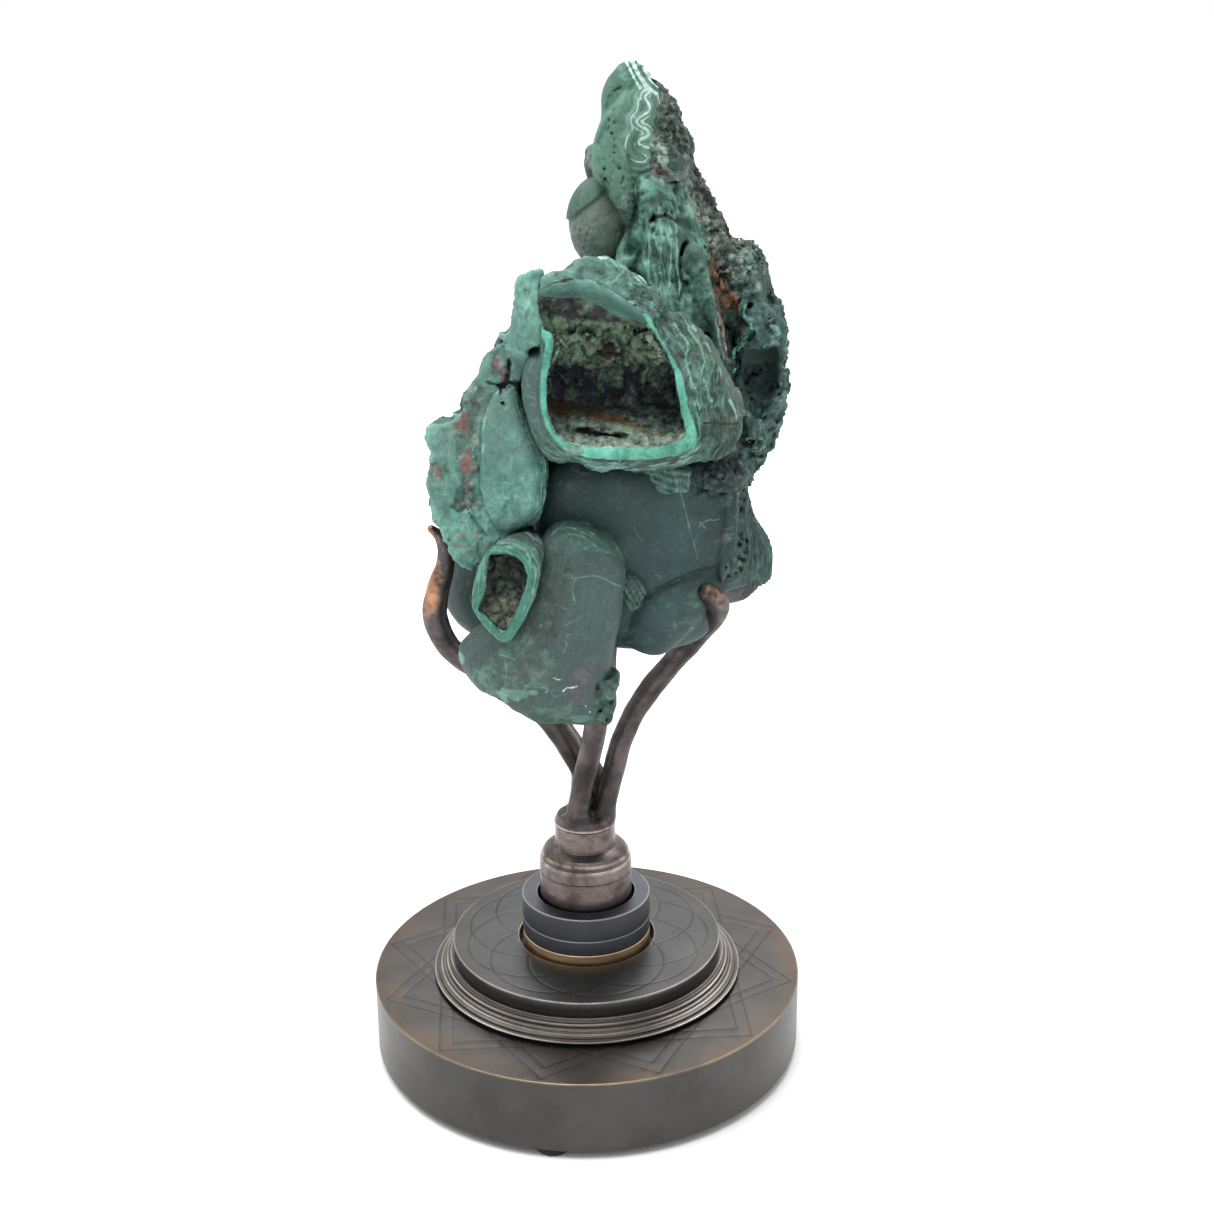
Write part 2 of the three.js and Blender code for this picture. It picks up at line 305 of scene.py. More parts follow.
def rosette_lines(tree, place):
    """The distance to the nearest engraved circle of the rosette."""
    nearest = None
    for i in range(ROSETTE_CIRCLES):
        turn_angle = 2 * math.pi * i / ROSETTE_CIRCLES
        centre = (ROSETTE_CIRCLE_OUT * MM * math.cos(turn_angle),
                  ROSETTE_CIRCLE_OUT * MM * math.sin(turn_angle), ROSETTE_TOP * MM)
        away = node(tree, "ShaderNodeVectorMath", {0: place, 1: centre}, operation="DISTANCE")
        gap = node(tree, "ShaderNodeMath", {0: away.outputs["Value"],
                                            1: ROSETTE_CIRCLE_RADIUS * MM}, operation="SUBTRACT")
        gap = node(tree, "ShaderNodeMath", {0: gap.outputs[0]}, operation="ABSOLUTE").outputs[0]
        nearest = gap if nearest is None else node(
            tree, "ShaderNodeMath", {0: nearest, 1: gap}, operation="MINIMUM").outputs[0]
    return nearest


def patinated_bronze(name, dark, brown, bright, brown_from, corners, lines=None):
    """Turned bronze under a dark brown chemical patina: satin, cloudy, browner towards the rim
    and rubbed bright along its corners, which also carry a painted highlight. The eye sees a soft
    reflection with faint lathe lines."""
    material, tree, shader, place = new_material(name)
    out, up = metres_out(tree, place)
    cloud = node(tree, "ShaderNodeTexNoise", {
        "Vector": place, "Scale": 1000 / 22, "Detail": 5.0, "Roughness": 0.6})
    speck = node(tree, "ShaderNodeTexNoise", {
        "Vector": place, "Scale": 1000 / 1.1, "Detail": 3.0, "Roughness": 0.7})
    smudge = node(tree, "ShaderNodeMapRange", {
        "Value": cloud.outputs[0], "From Min": 0.35, "From Max": 0.68, "To Min": -5 * MM,
        "To Max": 5 * MM})
    ragged = node(tree, "ShaderNodeMath", {0: out, 1: smudge.outputs[0]}, operation="ADD")
    rimward = node(tree, "ShaderNodeMapRange", {
        "Value": ragged.outputs[0], "From Min": brown_from[0] * MM,
        "From Max": brown_from[1] * MM}, interpolation_type="SMOOTHSTEP")
    facing = node(tree, "ShaderNodeSeparateXYZ", {
        0: node(tree, "ShaderNodeNewGeometry").outputs["Normal"]})
    rimward = node(tree, "ShaderNodeMath", {0: rimward.outputs[0], 1: facing.outputs["Z"]},
                   operation="MULTIPLY", use_clamp=True)
    tint = node(tree, "ShaderNodeMix", {0: rimward.outputs[0], 6: linear(dark), 7: linear(brown)},
                data_type="RGBA")
    mottle = node(tree, "ShaderNodeMapRange", {
        "Value": cloud.outputs[0], "From Min": 0.3, "From Max": 0.7, "To Min": 0.82,
        "To Max": 1.18})
    tint = node(tree, "ShaderNodeMix", {
        0: 1.0, 6: tint.outputs[2], 7: mottle.outputs[0]}, data_type="RGBA", blend_type="MULTIPLY")
    # corners lightened: rubbed wear and a painted highlight along each edge
    wear_and_highlight = edge_wear_and_highlight(tree, out, up, corners, 0.6)
    patchy = node(tree, "ShaderNodeMapRange", {
        "Value": cloud.outputs[0], "From Min": 0.3, "From Max": 0.6, "To Min": 0.35, "To Max": 1.0})
    wear_and_highlight = node(tree, "ShaderNodeMath", {0: wear_and_highlight, 1: patchy.outputs[0]}, operation="MULTIPLY")
    tint = node(tree, "ShaderNodeMix", {0: wear_and_highlight.outputs[0], 6: tint.outputs[2], 7: linear(bright)},
                data_type="RGBA")
    lathe = node(tree, "ShaderNodeTexNoise", {
        "Vector": node(tree, "ShaderNodeCombineXYZ", {0: out, 1: up}).outputs[0],
        "Scale": 1000 / 0.7, "Detail": 2.0})
    height = node(tree, "ShaderNodeMix", {0: 0.35, 2: lathe.outputs[0], 3: speck.outputs[0]})
    relief = node(tree, "ShaderNodeBump", {"Height": height.outputs[0], "Strength": 0.10,
                                           "Distance": 0.1 * MM})
    if lines:
        gap = lines(tree, place)
        line = node(tree, "ShaderNodeMapRange", {
            "Value": gap, "From Min": 0.15 * MM, "From Max": 0.62 * MM, "To Min": 0.55,
            "To Max": 0.0}, interpolation_type="SMOOTHSTEP")
        fade = node(tree, "ShaderNodeMapRange", {
            "Value": cloud.outputs[0], "From Min": 0.3, "From Max": 0.65, "To Min": 1.0,
            "To Max": 0.35})
        line = node(tree, "ShaderNodeMath", {0: line.outputs[0], 1: fade.outputs[0]},
                    operation="MULTIPLY")
        tint = node(tree, "ShaderNodeMix", {
            0: line.outputs[0], 6: tint.outputs[2], 7: linear("#1d1a18")}, data_type="RGBA")
    rough = node(tree, "ShaderNodeMapRange", {
        "Value": speck.outputs[0], "From Min": 0.3, "From Max": 0.7, "To Min": 0.30,
        "To Max": 0.44})
    plug(tree, shader, {"Base Color": tint.outputs[2], "Roughness": rough.outputs[0],
                        "Normal": relief.outputs[0], "Metallic": 1.0})
    return material


base_metal = patinated_bronze(
    "patinated_bronze_base", "#4c4b49", "#554b44", "#94856c", (62, 78),
    [(76.1, 28.5)], star_lines)
plate_metal = patinated_bronze(
    "patinated_bronze_plate", "#5f5c59", "#635e5a", "#a8a29a", (50, 60),
    [(54.9, 30.2), (52.5, 31.8), (51.2, 32.3), (50.2, 34), (49.2, 35.8)])
disc_metal = patinated_bronze(
    "patinated_bronze_disc", "#4b4c4b", "#4c4a48", "#8f8c86", (40, 50),
    [(47.8, 40.8), (24.3, 40.8)], rosette_lines)
collar_metal = patinated_bronze(
    "aged_brass_collar", "#e4c49c", "#e8caa2", "#f0d8b0", (20, 24), [(22.7, 44)])

# ---------------------------------------------------------------- the stand's turned pieces

PAD_TOP = 3
BASE_RIM = 76.2
BASE_TOP = 28.6
PLATE_TOP = 35.8
STAR_WAYS = [math.radians(STAR_FIRST_NORMAL + 30 * side) for side in range(12)]
STAR_FROM = 50.5  # mm from the axis, hidden under the edge of the stepped plate
STAR_TO = 75.5


def engraved_base():
    """The base disc, cut along both edges and the middle of each star line, which then sinks."""
    shape = turn([(0, PAD_TOP), (BASE_RIM, PAD_TOP), (BASE_RIM, BASE_TOP), (50, BASE_TOP),
                  (46, BASE_TOP), (0, BASE_TOP)], 0.45, steps=200)
    for angle in STAR_WAYS:
        out = Vector((math.cos(angle), math.sin(angle), 0))
        for half in STAR_HALF_SIDES:
            for step in (-GROOVE_HALF, 0, GROOVE_HALF):
                top = [f for f in shape.faces
                       if f.normal.z > 0.999 and f.calc_center_median().xy.length > 50]
                around = {e for f in top for e in f.edges} | {v for f in top for v in f.verts}
                bmesh.ops.bisect_plane(shape, geom=top + list(around), dist=1e-4,
                                       plane_co=out * (half + step), plane_no=out)
    for vert in shape.verts:
        if abs(vert.co.z - BASE_TOP) > 1e-4 or not STAR_FROM < vert.co.xy.length < STAR_TO:
            continue
        for angle in STAR_WAYS:
            along = abs(-vert.co.x * math.sin(angle) + vert.co.y * math.cos(angle))
            away = vert.co.x * math.cos(angle) + vert.co.y * math.sin(angle)
            if any(abs(away - half) < 1e-3 and along < half + 1e-3 for half in STAR_HALF_SIDES):
                vert.co.z = BASE_TOP - GROOVE_DEEP
    return write_mesh("base_turned", shape, 40)


shade_flats(finish_piece("base_turned", engraved_base(), base_metal,
                         ["base_disc"]))

turned_piece("plate_turned", [
    (0, BASE_TOP), (53.5, BASE_TOP), (53.5, 29.6), (55, 29.6), (55, 30.2), (53.6, 30.4),
    (53.6, 31.2), (52.6, 31.4), (52.6, 31.9), (51.6, 32.0), (51.6, 32.6), (50.7, 32.8),
    (50.7, 33.9), (49.9, 34.0), (49.9, 34.9), (49.2, 35.0), (49.2, PLATE_TOP), (0, PLATE_TOP),
], 0.14, plate_metal, "dark_bronze", ["stepped_plate"], steps=220, bevel_steps=2)


DISC_BORE = 24.2
DISC_RIM = 47.9


def rosette():
    """The disc on the stepped plate, its overlapping circles engraved in fine rings of faces."""
    across = [DISC_BORE, *(DISC_BORE + 0.6 + 0.42 * i for i in range(54)), DISC_RIM]
    shape = turn([(DISC_BORE, PLATE_TOP), *((radius, ROSETTE_TOP) for radius in across),
                  (DISC_RIM, PLATE_TOP), (DISC_BORE, PLATE_TOP)], 0.25, steps=420)
    for vert in shape.verts:
        if abs(vert.co.z - ROSETTE_TOP) > 1e-4 or not 24.7 < vert.co.xy.length < 47.3:
            continue
        gap = min(abs(math.hypot(
            vert.co.x - ROSETTE_CIRCLE_OUT * math.cos(a),
            vert.co.y - ROSETTE_CIRCLE_OUT * math.sin(a)) - ROSETTE_CIRCLE_RADIUS)
            for a in (2 * math.pi * i / ROSETTE_CIRCLES for i in range(ROSETTE_CIRCLES)))
        vert.co.z -= 0.10 * max(0.0, 1 - gap / 0.55)
    return write_mesh("rosette_turned", shape, 30)


finish_piece("rosette_turned", rosette(), disc_metal, ["rosette_disc"])


def blackened_steel(name, dark, light):
    """Turned steel, chemically blackened: blue-black and satin, paler where corners are rubbed and
    where a painted highlight runs along them.
    """
    material, tree, shader, place = new_material(name)
    out, up = metres_out(tree, place)
    speck = node(tree, "ShaderNodeTexNoise", {
        "Vector": place, "Scale": 1000 / 1.5, "Detail": 4.0, "Roughness": 0.7})
    cloud = node(tree, "ShaderNodeTexNoise", {"Vector": place, "Scale": 1000 / 12, "Detail": 3.0})
    tint = node(tree, "ShaderNodeMix", {
        0: cloud.outputs[0], 6: linear(dark), 7: linear(light)}, data_type="RGBA")
    # corners paler: rubbed wear and a painted highlight along each edge
    wear_and_highlight = edge_wear_and_highlight(tree, out, up, [(22.7, 58.0), (22.7, 49.5), (17.3, 58.0)], 0.5)
    wear_and_highlight = node(tree, "ShaderNodeMath", {0: wear_and_highlight, 1: 0.75}, operation="MULTIPLY")
    tint = node(tree, "ShaderNodeMix", {
        0: wear_and_highlight.outputs[0], 6: tint.outputs[2], 7: linear("#9a9ca0")}, data_type="RGBA")
    rough = node(tree, "ShaderNodeMapRange", {
        "Value": speck.outputs[0], "From Min": 0.3, "From Max": 0.7, "To Min": 0.36,
        "To Max": 0.5})
    relief = node(tree, "ShaderNodeBump", {"Height": speck.outputs[0], "Strength": 0.12,
                                           "Distance": 0.1 * MM})
    plug(tree, shader, {"Base Color": tint.outputs[2], "Roughness": rough.outputs[0],
                        "Normal": relief.outputs[0], "Metallic": 1.0})
    return material


# the lower ring is the same blackened steel as the upper one, painted lighter to make up for the
# shade it sits in
lower_steel_painted_lighter = blackened_steel("blackened_steel_lower_painted_lighter", "#5b5d64", "#6a6c72")
upper_steel = blackened_steel("blackened_steel_upper", "#4a4c51", "#595b60")
RING_BORE = 17.25
RING_OUT = 22.8
COLLAR_TOP = 44
LOWER_RING_TOP = 49.5
for name, replaced, bottom, top, edge, metal, slot in (
        ("collar_turned", "brass_collar", PLATE_TOP, COLLAR_TOP, 0.3, collar_metal, "brass_ring"),
        ("lower_ring_turned", "lower_ring", COLLAR_TOP, LOWER_RING_TOP, 0.25, lower_steel_painted_lighter,
         "dark_ring"),
        ("upper_ring_turned", "upper_ring", LOWER_RING_TOP, 58.1, 0.35, upper_steel,
         "dark_ring")):
    turned_piece(name, [(RING_BORE, bottom), (RING_OUT, bottom), (RING_OUT, top),
                        (RING_BORE, top), (RING_BORE, bottom)], edge, metal, slot, [replaced])


def rubber():
    """Moulded black rubber: matt, faintly dusty, with a fine grain."""
    material, tree, shader, place = new_material("moulded_black_rubber")
    grain = node(tree, "ShaderNodeTexNoise", {"Vector": place, "Scale": 1000 / 0.8, "Detail": 3.0})
    tint = node(tree, "ShaderNodeMix", {
        0: grain.outputs[0], 6: linear("#0f0f0f"), 7: linear("#232323")}, data_type="RGBA")
    relief = node(tree, "ShaderNodeBump", {"Height": grain.outputs[0], "Strength": 0.2,
                                           "Distance": 0.1 * MM})
    plug(tree, shader, {"Base Color": tint.outputs[2], "Roughness": 0.85,
                        "Normal": relief.outputs[0]})
    return material


foot_rubber = rubber()
FOOT_OUT = 69.5
FIRST_FOOT = -99  # degrees round from +X
for i in range(4):
    foot_angle = math.radians(FIRST_FOOT + 90 * i)
    pad = turn([(0, 0), (5.4, 0), (6, 0.8), (5.9, PAD_TOP), (0, PAD_TOP)], 0.25, steps=40)
    bmesh.ops.translate(pad, verts=pad.verts, vec=(FOOT_OUT * math.cos(foot_angle),
                                                   FOOT_OUT * math.sin(foot_angle), 0))
    finish_piece(f"pad_{i + 1}", write_mesh(f"pad_{i + 1}", pad), foot_rubber,
                 [f"foot_{i + 1}"])

# ---------------------------------------------------------------- grown stone: fields
# Malachite grows as crusts, lobes and hollows that no profile can be spun or extruded into, so
# each mass is a field of signed distances in mm (negative inside), meshed where it is zero.

PITCH = 1.0
chance = np.random.default_rng(20)
LATTICE = (chance.random(64 ** 3) * 2 - 1).astype(np.float32)
SCATTER = chance.random((32 ** 3, 3)).astype(np.float32)


def rise(low, high, value):
    """A smooth step from 0 at low to 1 at high."""
    t = np.clip((value - low) / (high - low), 0, 1)
    return t * t * (3 - 2 * t)


def near(value, middle, half):
    """1 at the middle, falling smoothly to 0 at `half` away."""
    return rise(half, 0, np.abs(value - middle))


def waves(along, apart):
    """A wave from -1 to 1, its crests `apart` mm from each other."""
    return np.sin(along * 2 * math.pi / apart)


def join(a, b, soft):
    """The union of two fields, with a fillet of `soft` mm."""
    h = np.clip(0.5 + 0.5 * (b - a) / soft, 0, 1)
    return b + (a - b) * h - soft * h * (1 - h)


def both(a, b, soft):
    """What two fields share, with its edge rounded by `soft` mm."""
    return -join(-a, -b, soft)


def swell(p, size, seed):
    """Smooth noise from -1 to 1, its waves `size` mm wide."""
    q = p / np.float32(size) + np.float32(seed * 7.31 + 20)
    cell = np.floor(q)
    f = q - cell
    f = f * f * (3 - 2 * f)
    low = cell.astype(np.int32) & 63
    high = (low + 1) & 63
    x0, x1 = low[:, 0] * 4096, high[:, 0] * 4096
    y0, y1 = low[:, 1] * 64, high[:, 1] * 64
    z0, z1 = low[:, 2], high[:, 2]
    fx, fy, fz = f[:, 0], f[:, 1], f[:, 2]
    layers = []
    for z in (z0, z1):
        rows = []
        for y in (y0, y1):
            a, b = LATTICE[x0 + y + z], LATTICE[x1 + y + z]
            rows.append(a + (b - a) * fx)
        layers.append(rows[0] + (rows[1] - rows[0]) * fy)
    return layers[0] + (layers[1] - layers[0]) * fz


def rough(p, size, seed, octaves=3, gain=0.5):
    """Layered noise from about -1 to 1."""
    total, strength, whole = 0, 1.0, 0.0
    for i in range(octaves):
        total = total + strength * swell(p[:, [i % 3, (i + 1) % 3, (i + 2) % 3]], size, seed + i)
        whole += strength
        strength *= gain
        size *= 0.47
    return total / whole


def grains(p, size, seed):
    """Distance to the nearest and second nearest of points scattered `size` mm apart."""
    q = p / np.float32(size) + np.float32(seed * 3.7 + 10)
    cell = np.floor(q).astype(np.int32)
    first = np.full(len(p), 9, np.float32)
    second = np.full(len(p), 9, np.float32)
    for dx in (-1, 0, 1):
        for dy in (-1, 0, 1):
            for dz in (-1, 0, 1):
                spot = cell + np.array([dx, dy, dz], np.int32)
                key = ((spot[:, 0] & 31) * 1024 + (spot[:, 1] & 31) * 32 + (spot[:, 2] & 31))
                away = ((spot + SCATTER[key] - q) ** 2).sum(axis=1)
                second = np.minimum(second, np.maximum(first, away))
                first = np.minimum(first, away)
    return np.sqrt(first) * size, np.sqrt(second) * size


def domes(p, size, seed):
    """Botryoidal bumps: 1 on top of each, 0 in the creases between them."""
    first, second = grains(p, size, seed)
    return np.sqrt(np.clip((second - first) / size, 0, 1))


def warped(p, by, size, seeds):
    """Points shaken by up to `by` mm, each axis by its seed's noise, or not at all for None."""
    shake = [rough(p, size, seed) if seed else 0 * p[:, 0] for seed in seeds]
    return p + by * np.stack(shake, axis=1)


class Outline:
    """A closed [x, z] outline in the front view, with its signed distance ready on a grid."""

    STEP = 0.5
    MARGIN = 26

    def __init__(self, points, front=0.0, sink=0.0):
        loop = curve_through(points, 1.5, closed=True)[:-1]
        self.low_z, self.high_z = loop[:, 1].min(), loop[:, 1].max()
        self.front, self.sink = front, sink
        self.corner = loop.min(axis=0) - self.MARGIN
        size = ((loop.max(axis=0) + self.MARGIN - self.corner) / self.STEP).astype(int) + 1
        x = self.corner[0] + np.arange(size[0]) * self.STEP
        z = self.corner[1] + np.arange(size[1]) * self.STEP
        gx, gz = np.meshgrid(x, z, indexing="ij")
        away = np.full(gx.shape, 1e9)
        inside = np.zeros(gx.shape, bool)
        for (ax, az), (bx, bz) in zip(loop, np.roll(loop, -1, axis=0)):
            run_x, run_z = bx - ax, bz - az
            t = np.clip(((gx - ax) * run_x + (gz - az) * run_z)
                        / max(run_x ** 2 + run_z ** 2, 1e-9), 0, 1)
            away = np.minimum(away, (gx - ax - t * run_x) ** 2 + (gz - az - t * run_z) ** 2)
            crosses = ((az > gz) != (bz > gz))
            over = gx < run_x * (gz - az) / (run_z if abs(run_z) > 1e-9 else 1e-9) + ax
            inside ^= crosses & over
        self.table = (np.sqrt(away) * np.where(inside, -1, 1)).astype(np.float32)

    def away(self, p):
        """Signed distance to the outline, whose top sinks towards the back."""
        x, y, z = p[:, 0], p[:, 1], p[:, 2]
        share = self.sink * (y - self.front) / (self.high_z - self.low_z)
        z = (z - share * self.low_z) / (1 - share)
        u = np.clip((x - self.corner[0]) / self.STEP, 0, self.table.shape[0] - 1.001)
        v = np.clip((z - self.corner[1]) / self.STEP, 0, self.table.shape[1] - 1.001)
        i, j = u.astype(np.int32), v.astype(np.int32)
        fu, fv = u - i, v - j
        t = self.table
        return ((t[i, j] * (1 - fu) + t[i + 1, j] * fu) * (1 - fv)
                + (t[i, j + 1] * (1 - fu) + t[i + 1, j + 1] * fu) * fv)


def lump(p, centre, half, lean=0.0):
    """A rounded lump: centre, half-axes, and its lean in the front view in degrees."""
    q = p - np.array(centre, np.float32)
    turn_by = math.radians(lean)
    x = q[:, 0] * math.cos(turn_by) - q[:, 2] * math.sin(turn_by)
    z = q[:, 0] * math.sin(turn_by) + q[:, 2] * math.cos(turn_by)
    q = np.stack([x, q[:, 1], z], axis=1)
    half = np.array(half, np.float32)
    k0 = np.sqrt(((q / half) ** 2).sum(axis=1))
    k1 = np.sqrt(((q / half ** 2) ** 2).sum(axis=1)) + 1e-6
    return k0 * (k0 - 1) / k1


def line_away(p, route):
    """Distance to a line of [x, z] points in the front view."""
    x, z = p[:, 0], p[:, 2]
    best = np.full(len(p), 1e9, np.float32)
    for (ax, az), (bx, bz) in zip(route, route[1:]):
        run_x, run_z = bx - ax, bz - az
        t = np.clip(((x - ax) * run_x + (z - az) * run_z) / (run_x ** 2 + run_z ** 2), 0, 1)
        best = np.minimum(best, (x - ax - t * run_x) ** 2 + (z - az - t * run_z) ** 2)
    return np.sqrt(best)


def nearest_line(p, routes):
    """Distance to the nearest of several lines."""
    return np.minimum.reduce([line_away(p, route) for route in routes])


def height_on(route, x):
    """The height at each x of a line of [x, z] points that runs to the right."""
    return np.interp(x, [c[0] for c in route], [c[1] for c in route])


def side_on(route, z):
    """The x at each height of a line of [x, z] points that runs down."""
    return np.interp(-z, [-c[1] for c in route], [c[0] for c in route])


def patches(p, spots, ragged=0.35, size=4.0, seed=3):
    """1 on ragged [x, z, half x, half z] patches in the front view."""
    shift = 1 + ragged * rough(p, size, seed)
    best = np.zeros(len(p), np.float32)
    for x, z, half_x, half_z in spots:
        away = np.sqrt(((p[:, 0] - x) / half_x) ** 2 + ((p[:, 2] - z) / half_z) ** 2)
        best = np.maximum(best, rise(1.15, 0.85, away * shift))
    return best


def skin(field, corner, pitch):
    """The surface where a sampled field is zero: one point a cell, one quad a crossed edge."""
    inside = field < 0
    solid = sum(inside[a:a + inside.shape[0] - 1 or None, b:b + inside.shape[1] - 1 or None,
                       c:c + inside.shape[2] - 1 or None].astype(np.int8)
                for a in (0, 1) for b in (0, 1) for c in (0, 1))
    cells = np.argwhere((solid > 0) & (solid < 8))
    total = np.zeros((len(cells), 3))
    count = np.zeros(len(cells))
    corners = [(a, b, c) for a in (0, 1) for b in (0, 1) for c in (0, 1)]
    for start in corners:
        for axis in range(3):
            if start[axis]:
                continue
            end = tuple(v + (i == axis) for i, v in enumerate(start))
            a = field[tuple((cells + start).T)]
            b = field[tuple((cells + end).T)]
            crossed = (a < 0) != (b < 0)
            t = np.where(crossed, a / np.where(crossed, a - b, 1), 0)
            spot = np.array(start, float) + t[:, None] * np.eye(3)[axis]
            total[crossed] += spot[crossed]
            count += crossed
    points = corner + (cells + total / count[:, None]) * pitch
    number = np.full(solid.shape, -1, np.int32)
    number[tuple(cells.T)] = np.arange(len(cells))
    quads = []
    for axis in range(3):
        u, v = [i for i in range(3) if i != axis]
        near_end = [slice(1, -1)] * 3
        far_end = [slice(1, -1)] * 3
        near_end[axis], far_end[axis] = slice(0, -1), slice(1, None)
        a, b = inside[tuple(near_end)], inside[tuple(far_end)]
        for crossing, forward in ((a & ~b, True), (~a & b, False)):
            at = np.argwhere(crossing)
            at[:, u] += 1
            at[:, v] += 1
            ring = []
            for du, dv in ((-1, -1), (0, -1), (0, 0), (-1, 0)):
                cell = at.copy()
                cell[:, u] += du
                cell[:, v] += dv
                ring.append(number[tuple(cell.T)])
            if forward == (axis == 1):
                ring.reverse()
            quads.append(np.stack(ring, axis=1))
    return points, np.concatenate(quads)


def grow(name, low, high, pitch, body, relief, paint, material,
         replaces=("malachite",), reach=4.5):
    """Meshes one mass of stone. body gives the distance field; relief, how far the surface is
    raised near it; paint, what each point of the surface is, kept as attributes."""
    pitch = pitch * PITCH
    axes = [np.arange(a, b + pitch, pitch, dtype=np.float32) for a, b in zip(low, high)]
    grid = np.stack(np.meshgrid(*axes, indexing="ij"), axis=-1).reshape(-1, 3)
    field = body(grid).astype(np.float32)
    close = np.abs(field) < reach
    field[close] -= relief(grid[close])
    shape = tuple(len(axis) for axis in axes)
    points, quads = skin(field.reshape(shape), np.array(low, float), pitch)
    mesh = bpy.data.meshes.new(name)
    mesh.vertices.add(len(points))
    mesh.vertices.foreach_set("co", (points * MM).astype(np.float32).ravel())
    mesh.loops.add(quads.size)
    mesh.loops.foreach_set("vertex_index", quads.astype(np.int32).ravel())
    mesh.polygons.add(len(quads))
    mesh.polygons.foreach_set("loop_start", np.arange(0, quads.size, 4, dtype=np.int32))
    mesh.polygons.foreach_set("use_smooth", np.ones(len(quads), bool))
    mesh.update(calc_edges=True)
    mesh.validate()
    for label, values in paint(points.astype(np.float32)).items():
        layer = mesh.attributes.new(label, "FLOAT", "POINT")
        layer.data.foreach_set("value", np.asarray(values, np.float32))
    finish_piece(name, mesh, material, replaces)

# ---------------------------------------------------------------- the ferrule and the bent rods


def rod_bronze(name, dark, light, brushed):
    """Forged bronze with a heat-darkened skin: brown-grey and satin, rubbed to copper colour where
    its wear mark is 1, the copper partly a painted highlight. Brushed round the turned ferrule,
    cloudy along the hammered rods."""
    material, tree, shader, place = new_material(name)
    out, up = metres_out(tree, place)
    worn_and_lit = node(tree, "ShaderNodeAttribute", attribute_name="worn_and_lit").outputs["Fac"]
    cloud = node(tree, "ShaderNodeTexNoise", {
        "Vector": place, "Scale": 1000 / 9, "Detail": 6.0, "Roughness": 0.65,
        "Distortion": 0.4}).outputs[0]
    speck = node(tree, "ShaderNodeTexNoise", {
        "Vector": place, "Scale": 1000 / 0.9, "Detail": 4.0, "Roughness": 0.7}).outputs[0]
    patch = node(tree, "ShaderNodeMapRange", {
        "Value": cloud, "From Min": 0.36, "From Max": 0.62}).outputs[0]
    tint = node(tree, "ShaderNodeMix", {
        0: patch, 6: linear(dark), 7: linear(light)}, data_type="RGBA").outputs[2]
    soot = node(tree, "ShaderNodeMapRange", {
        "Value": cloud, "From Min": 0.60, "From Max": 0.68, "To Max": 0.5}).outputs[0]
    tint = node(tree, "ShaderNodeMix", {
        0: soot, 6: tint, 7: linear("#4e4644")}, data_type="RGBA").outputs[2]
    # copper where rubbed, partly a painted highlight
    rubbed = node(tree, "ShaderNodeMath", {0: worn_and_lit, 1: patch}, operation="ADD").outputs[0]
    rubbed = node(tree, "ShaderNodeMapRange", {
        "Value": rubbed, "From Min": 1.05, "From Max": 1.8}).outputs[0]
    tint = node(tree, "ShaderNodeMix", {
        0: rubbed, 6: tint, 7: linear("#b98a68")}, data_type="RGBA").outputs[2]
    if brushed:
        # the ferrule's turned corners paler: rubbed wear and a painted highlight along each edge
        wear_and_highlight = edge_wear_and_highlight(tree, out, up, [(16.1, 72.0), (10.8, 85.6), (15.4, 74.2)], 0.8)
        wear_and_highlight = node(tree, "ShaderNodeMath", {0: wear_and_highlight, 1: patch}, operation="MULTIPLY").outputs[0]
        tint = node(tree, "ShaderNodeMix", {
            0: wear_and_highlight, 6: tint, 7: linear("#c9bcae")}, data_type="RGBA").outputs[2]
        lathe = node(tree, "ShaderNodeTexNoise", {
            "Vector": node(tree, "ShaderNodeCombineXYZ", {0: out, 1: up}).outputs[0],
            "Scale": 1000 / 0.8, "Detail": 3.0}).outputs[0]
        height = node(tree, "ShaderNodeMix", {0: 0.5, 2: lathe, 3: speck}).outputs[0]
    else:
        height = node(tree, "ShaderNodeMix", {0: 0.5, 2: cloud, 3: speck}).outputs[0]
    relief = node(tree, "ShaderNodeBump", {"Height": height, "Strength": 0.25,
                                           "Distance": 0.25 * MM})
    dull, smooth = (0.42, 0.28) if brushed else (0.56, 0.42)
    rough_by = node(tree, "ShaderNodeMapRange", {
        "Value": cloud, "From Min": 0.35, "From Max": 0.65, "To Min": dull,
        "To Max": smooth}).outputs[0]
    plug(tree, shader, {"Base Color": tint, "Roughness": rough_by,
                        "Normal": relief.outputs[0], "Metallic": 1.0})
    return material


ferrule_metal = rod_bronze("brushed_bronze_ferrule", "#524a48", "#7d726e", True)
rod_metal = rod_bronze("hammered_bronze_rod", "#464243", "#625b5a", False)

turned_piece("ferrule_turned", [
    (0, PLATE_TOP), (16.3, PLATE_TOP), (16.3, 66.8), (16.0, 67.1), (16.0, 67.5), (16.3, 67.8),
    (16.3, 71.6), (16.0, 72.1), (16.0, 72.5), (15.6, 73.6), (15.2, 74.4), (14.2, 75.6),
    (12.6, 76.5), (11.0, 77.0), (10.6, 77.6), (10.6, 84.8), (10.9, 85.2), (10.9, 85.9),
    (10.4, 86.8), (9.8, 88), (0, 88),
], 0.12, ferrule_metal, "rod_bronze", ["ferrule"], bevel_steps=2)

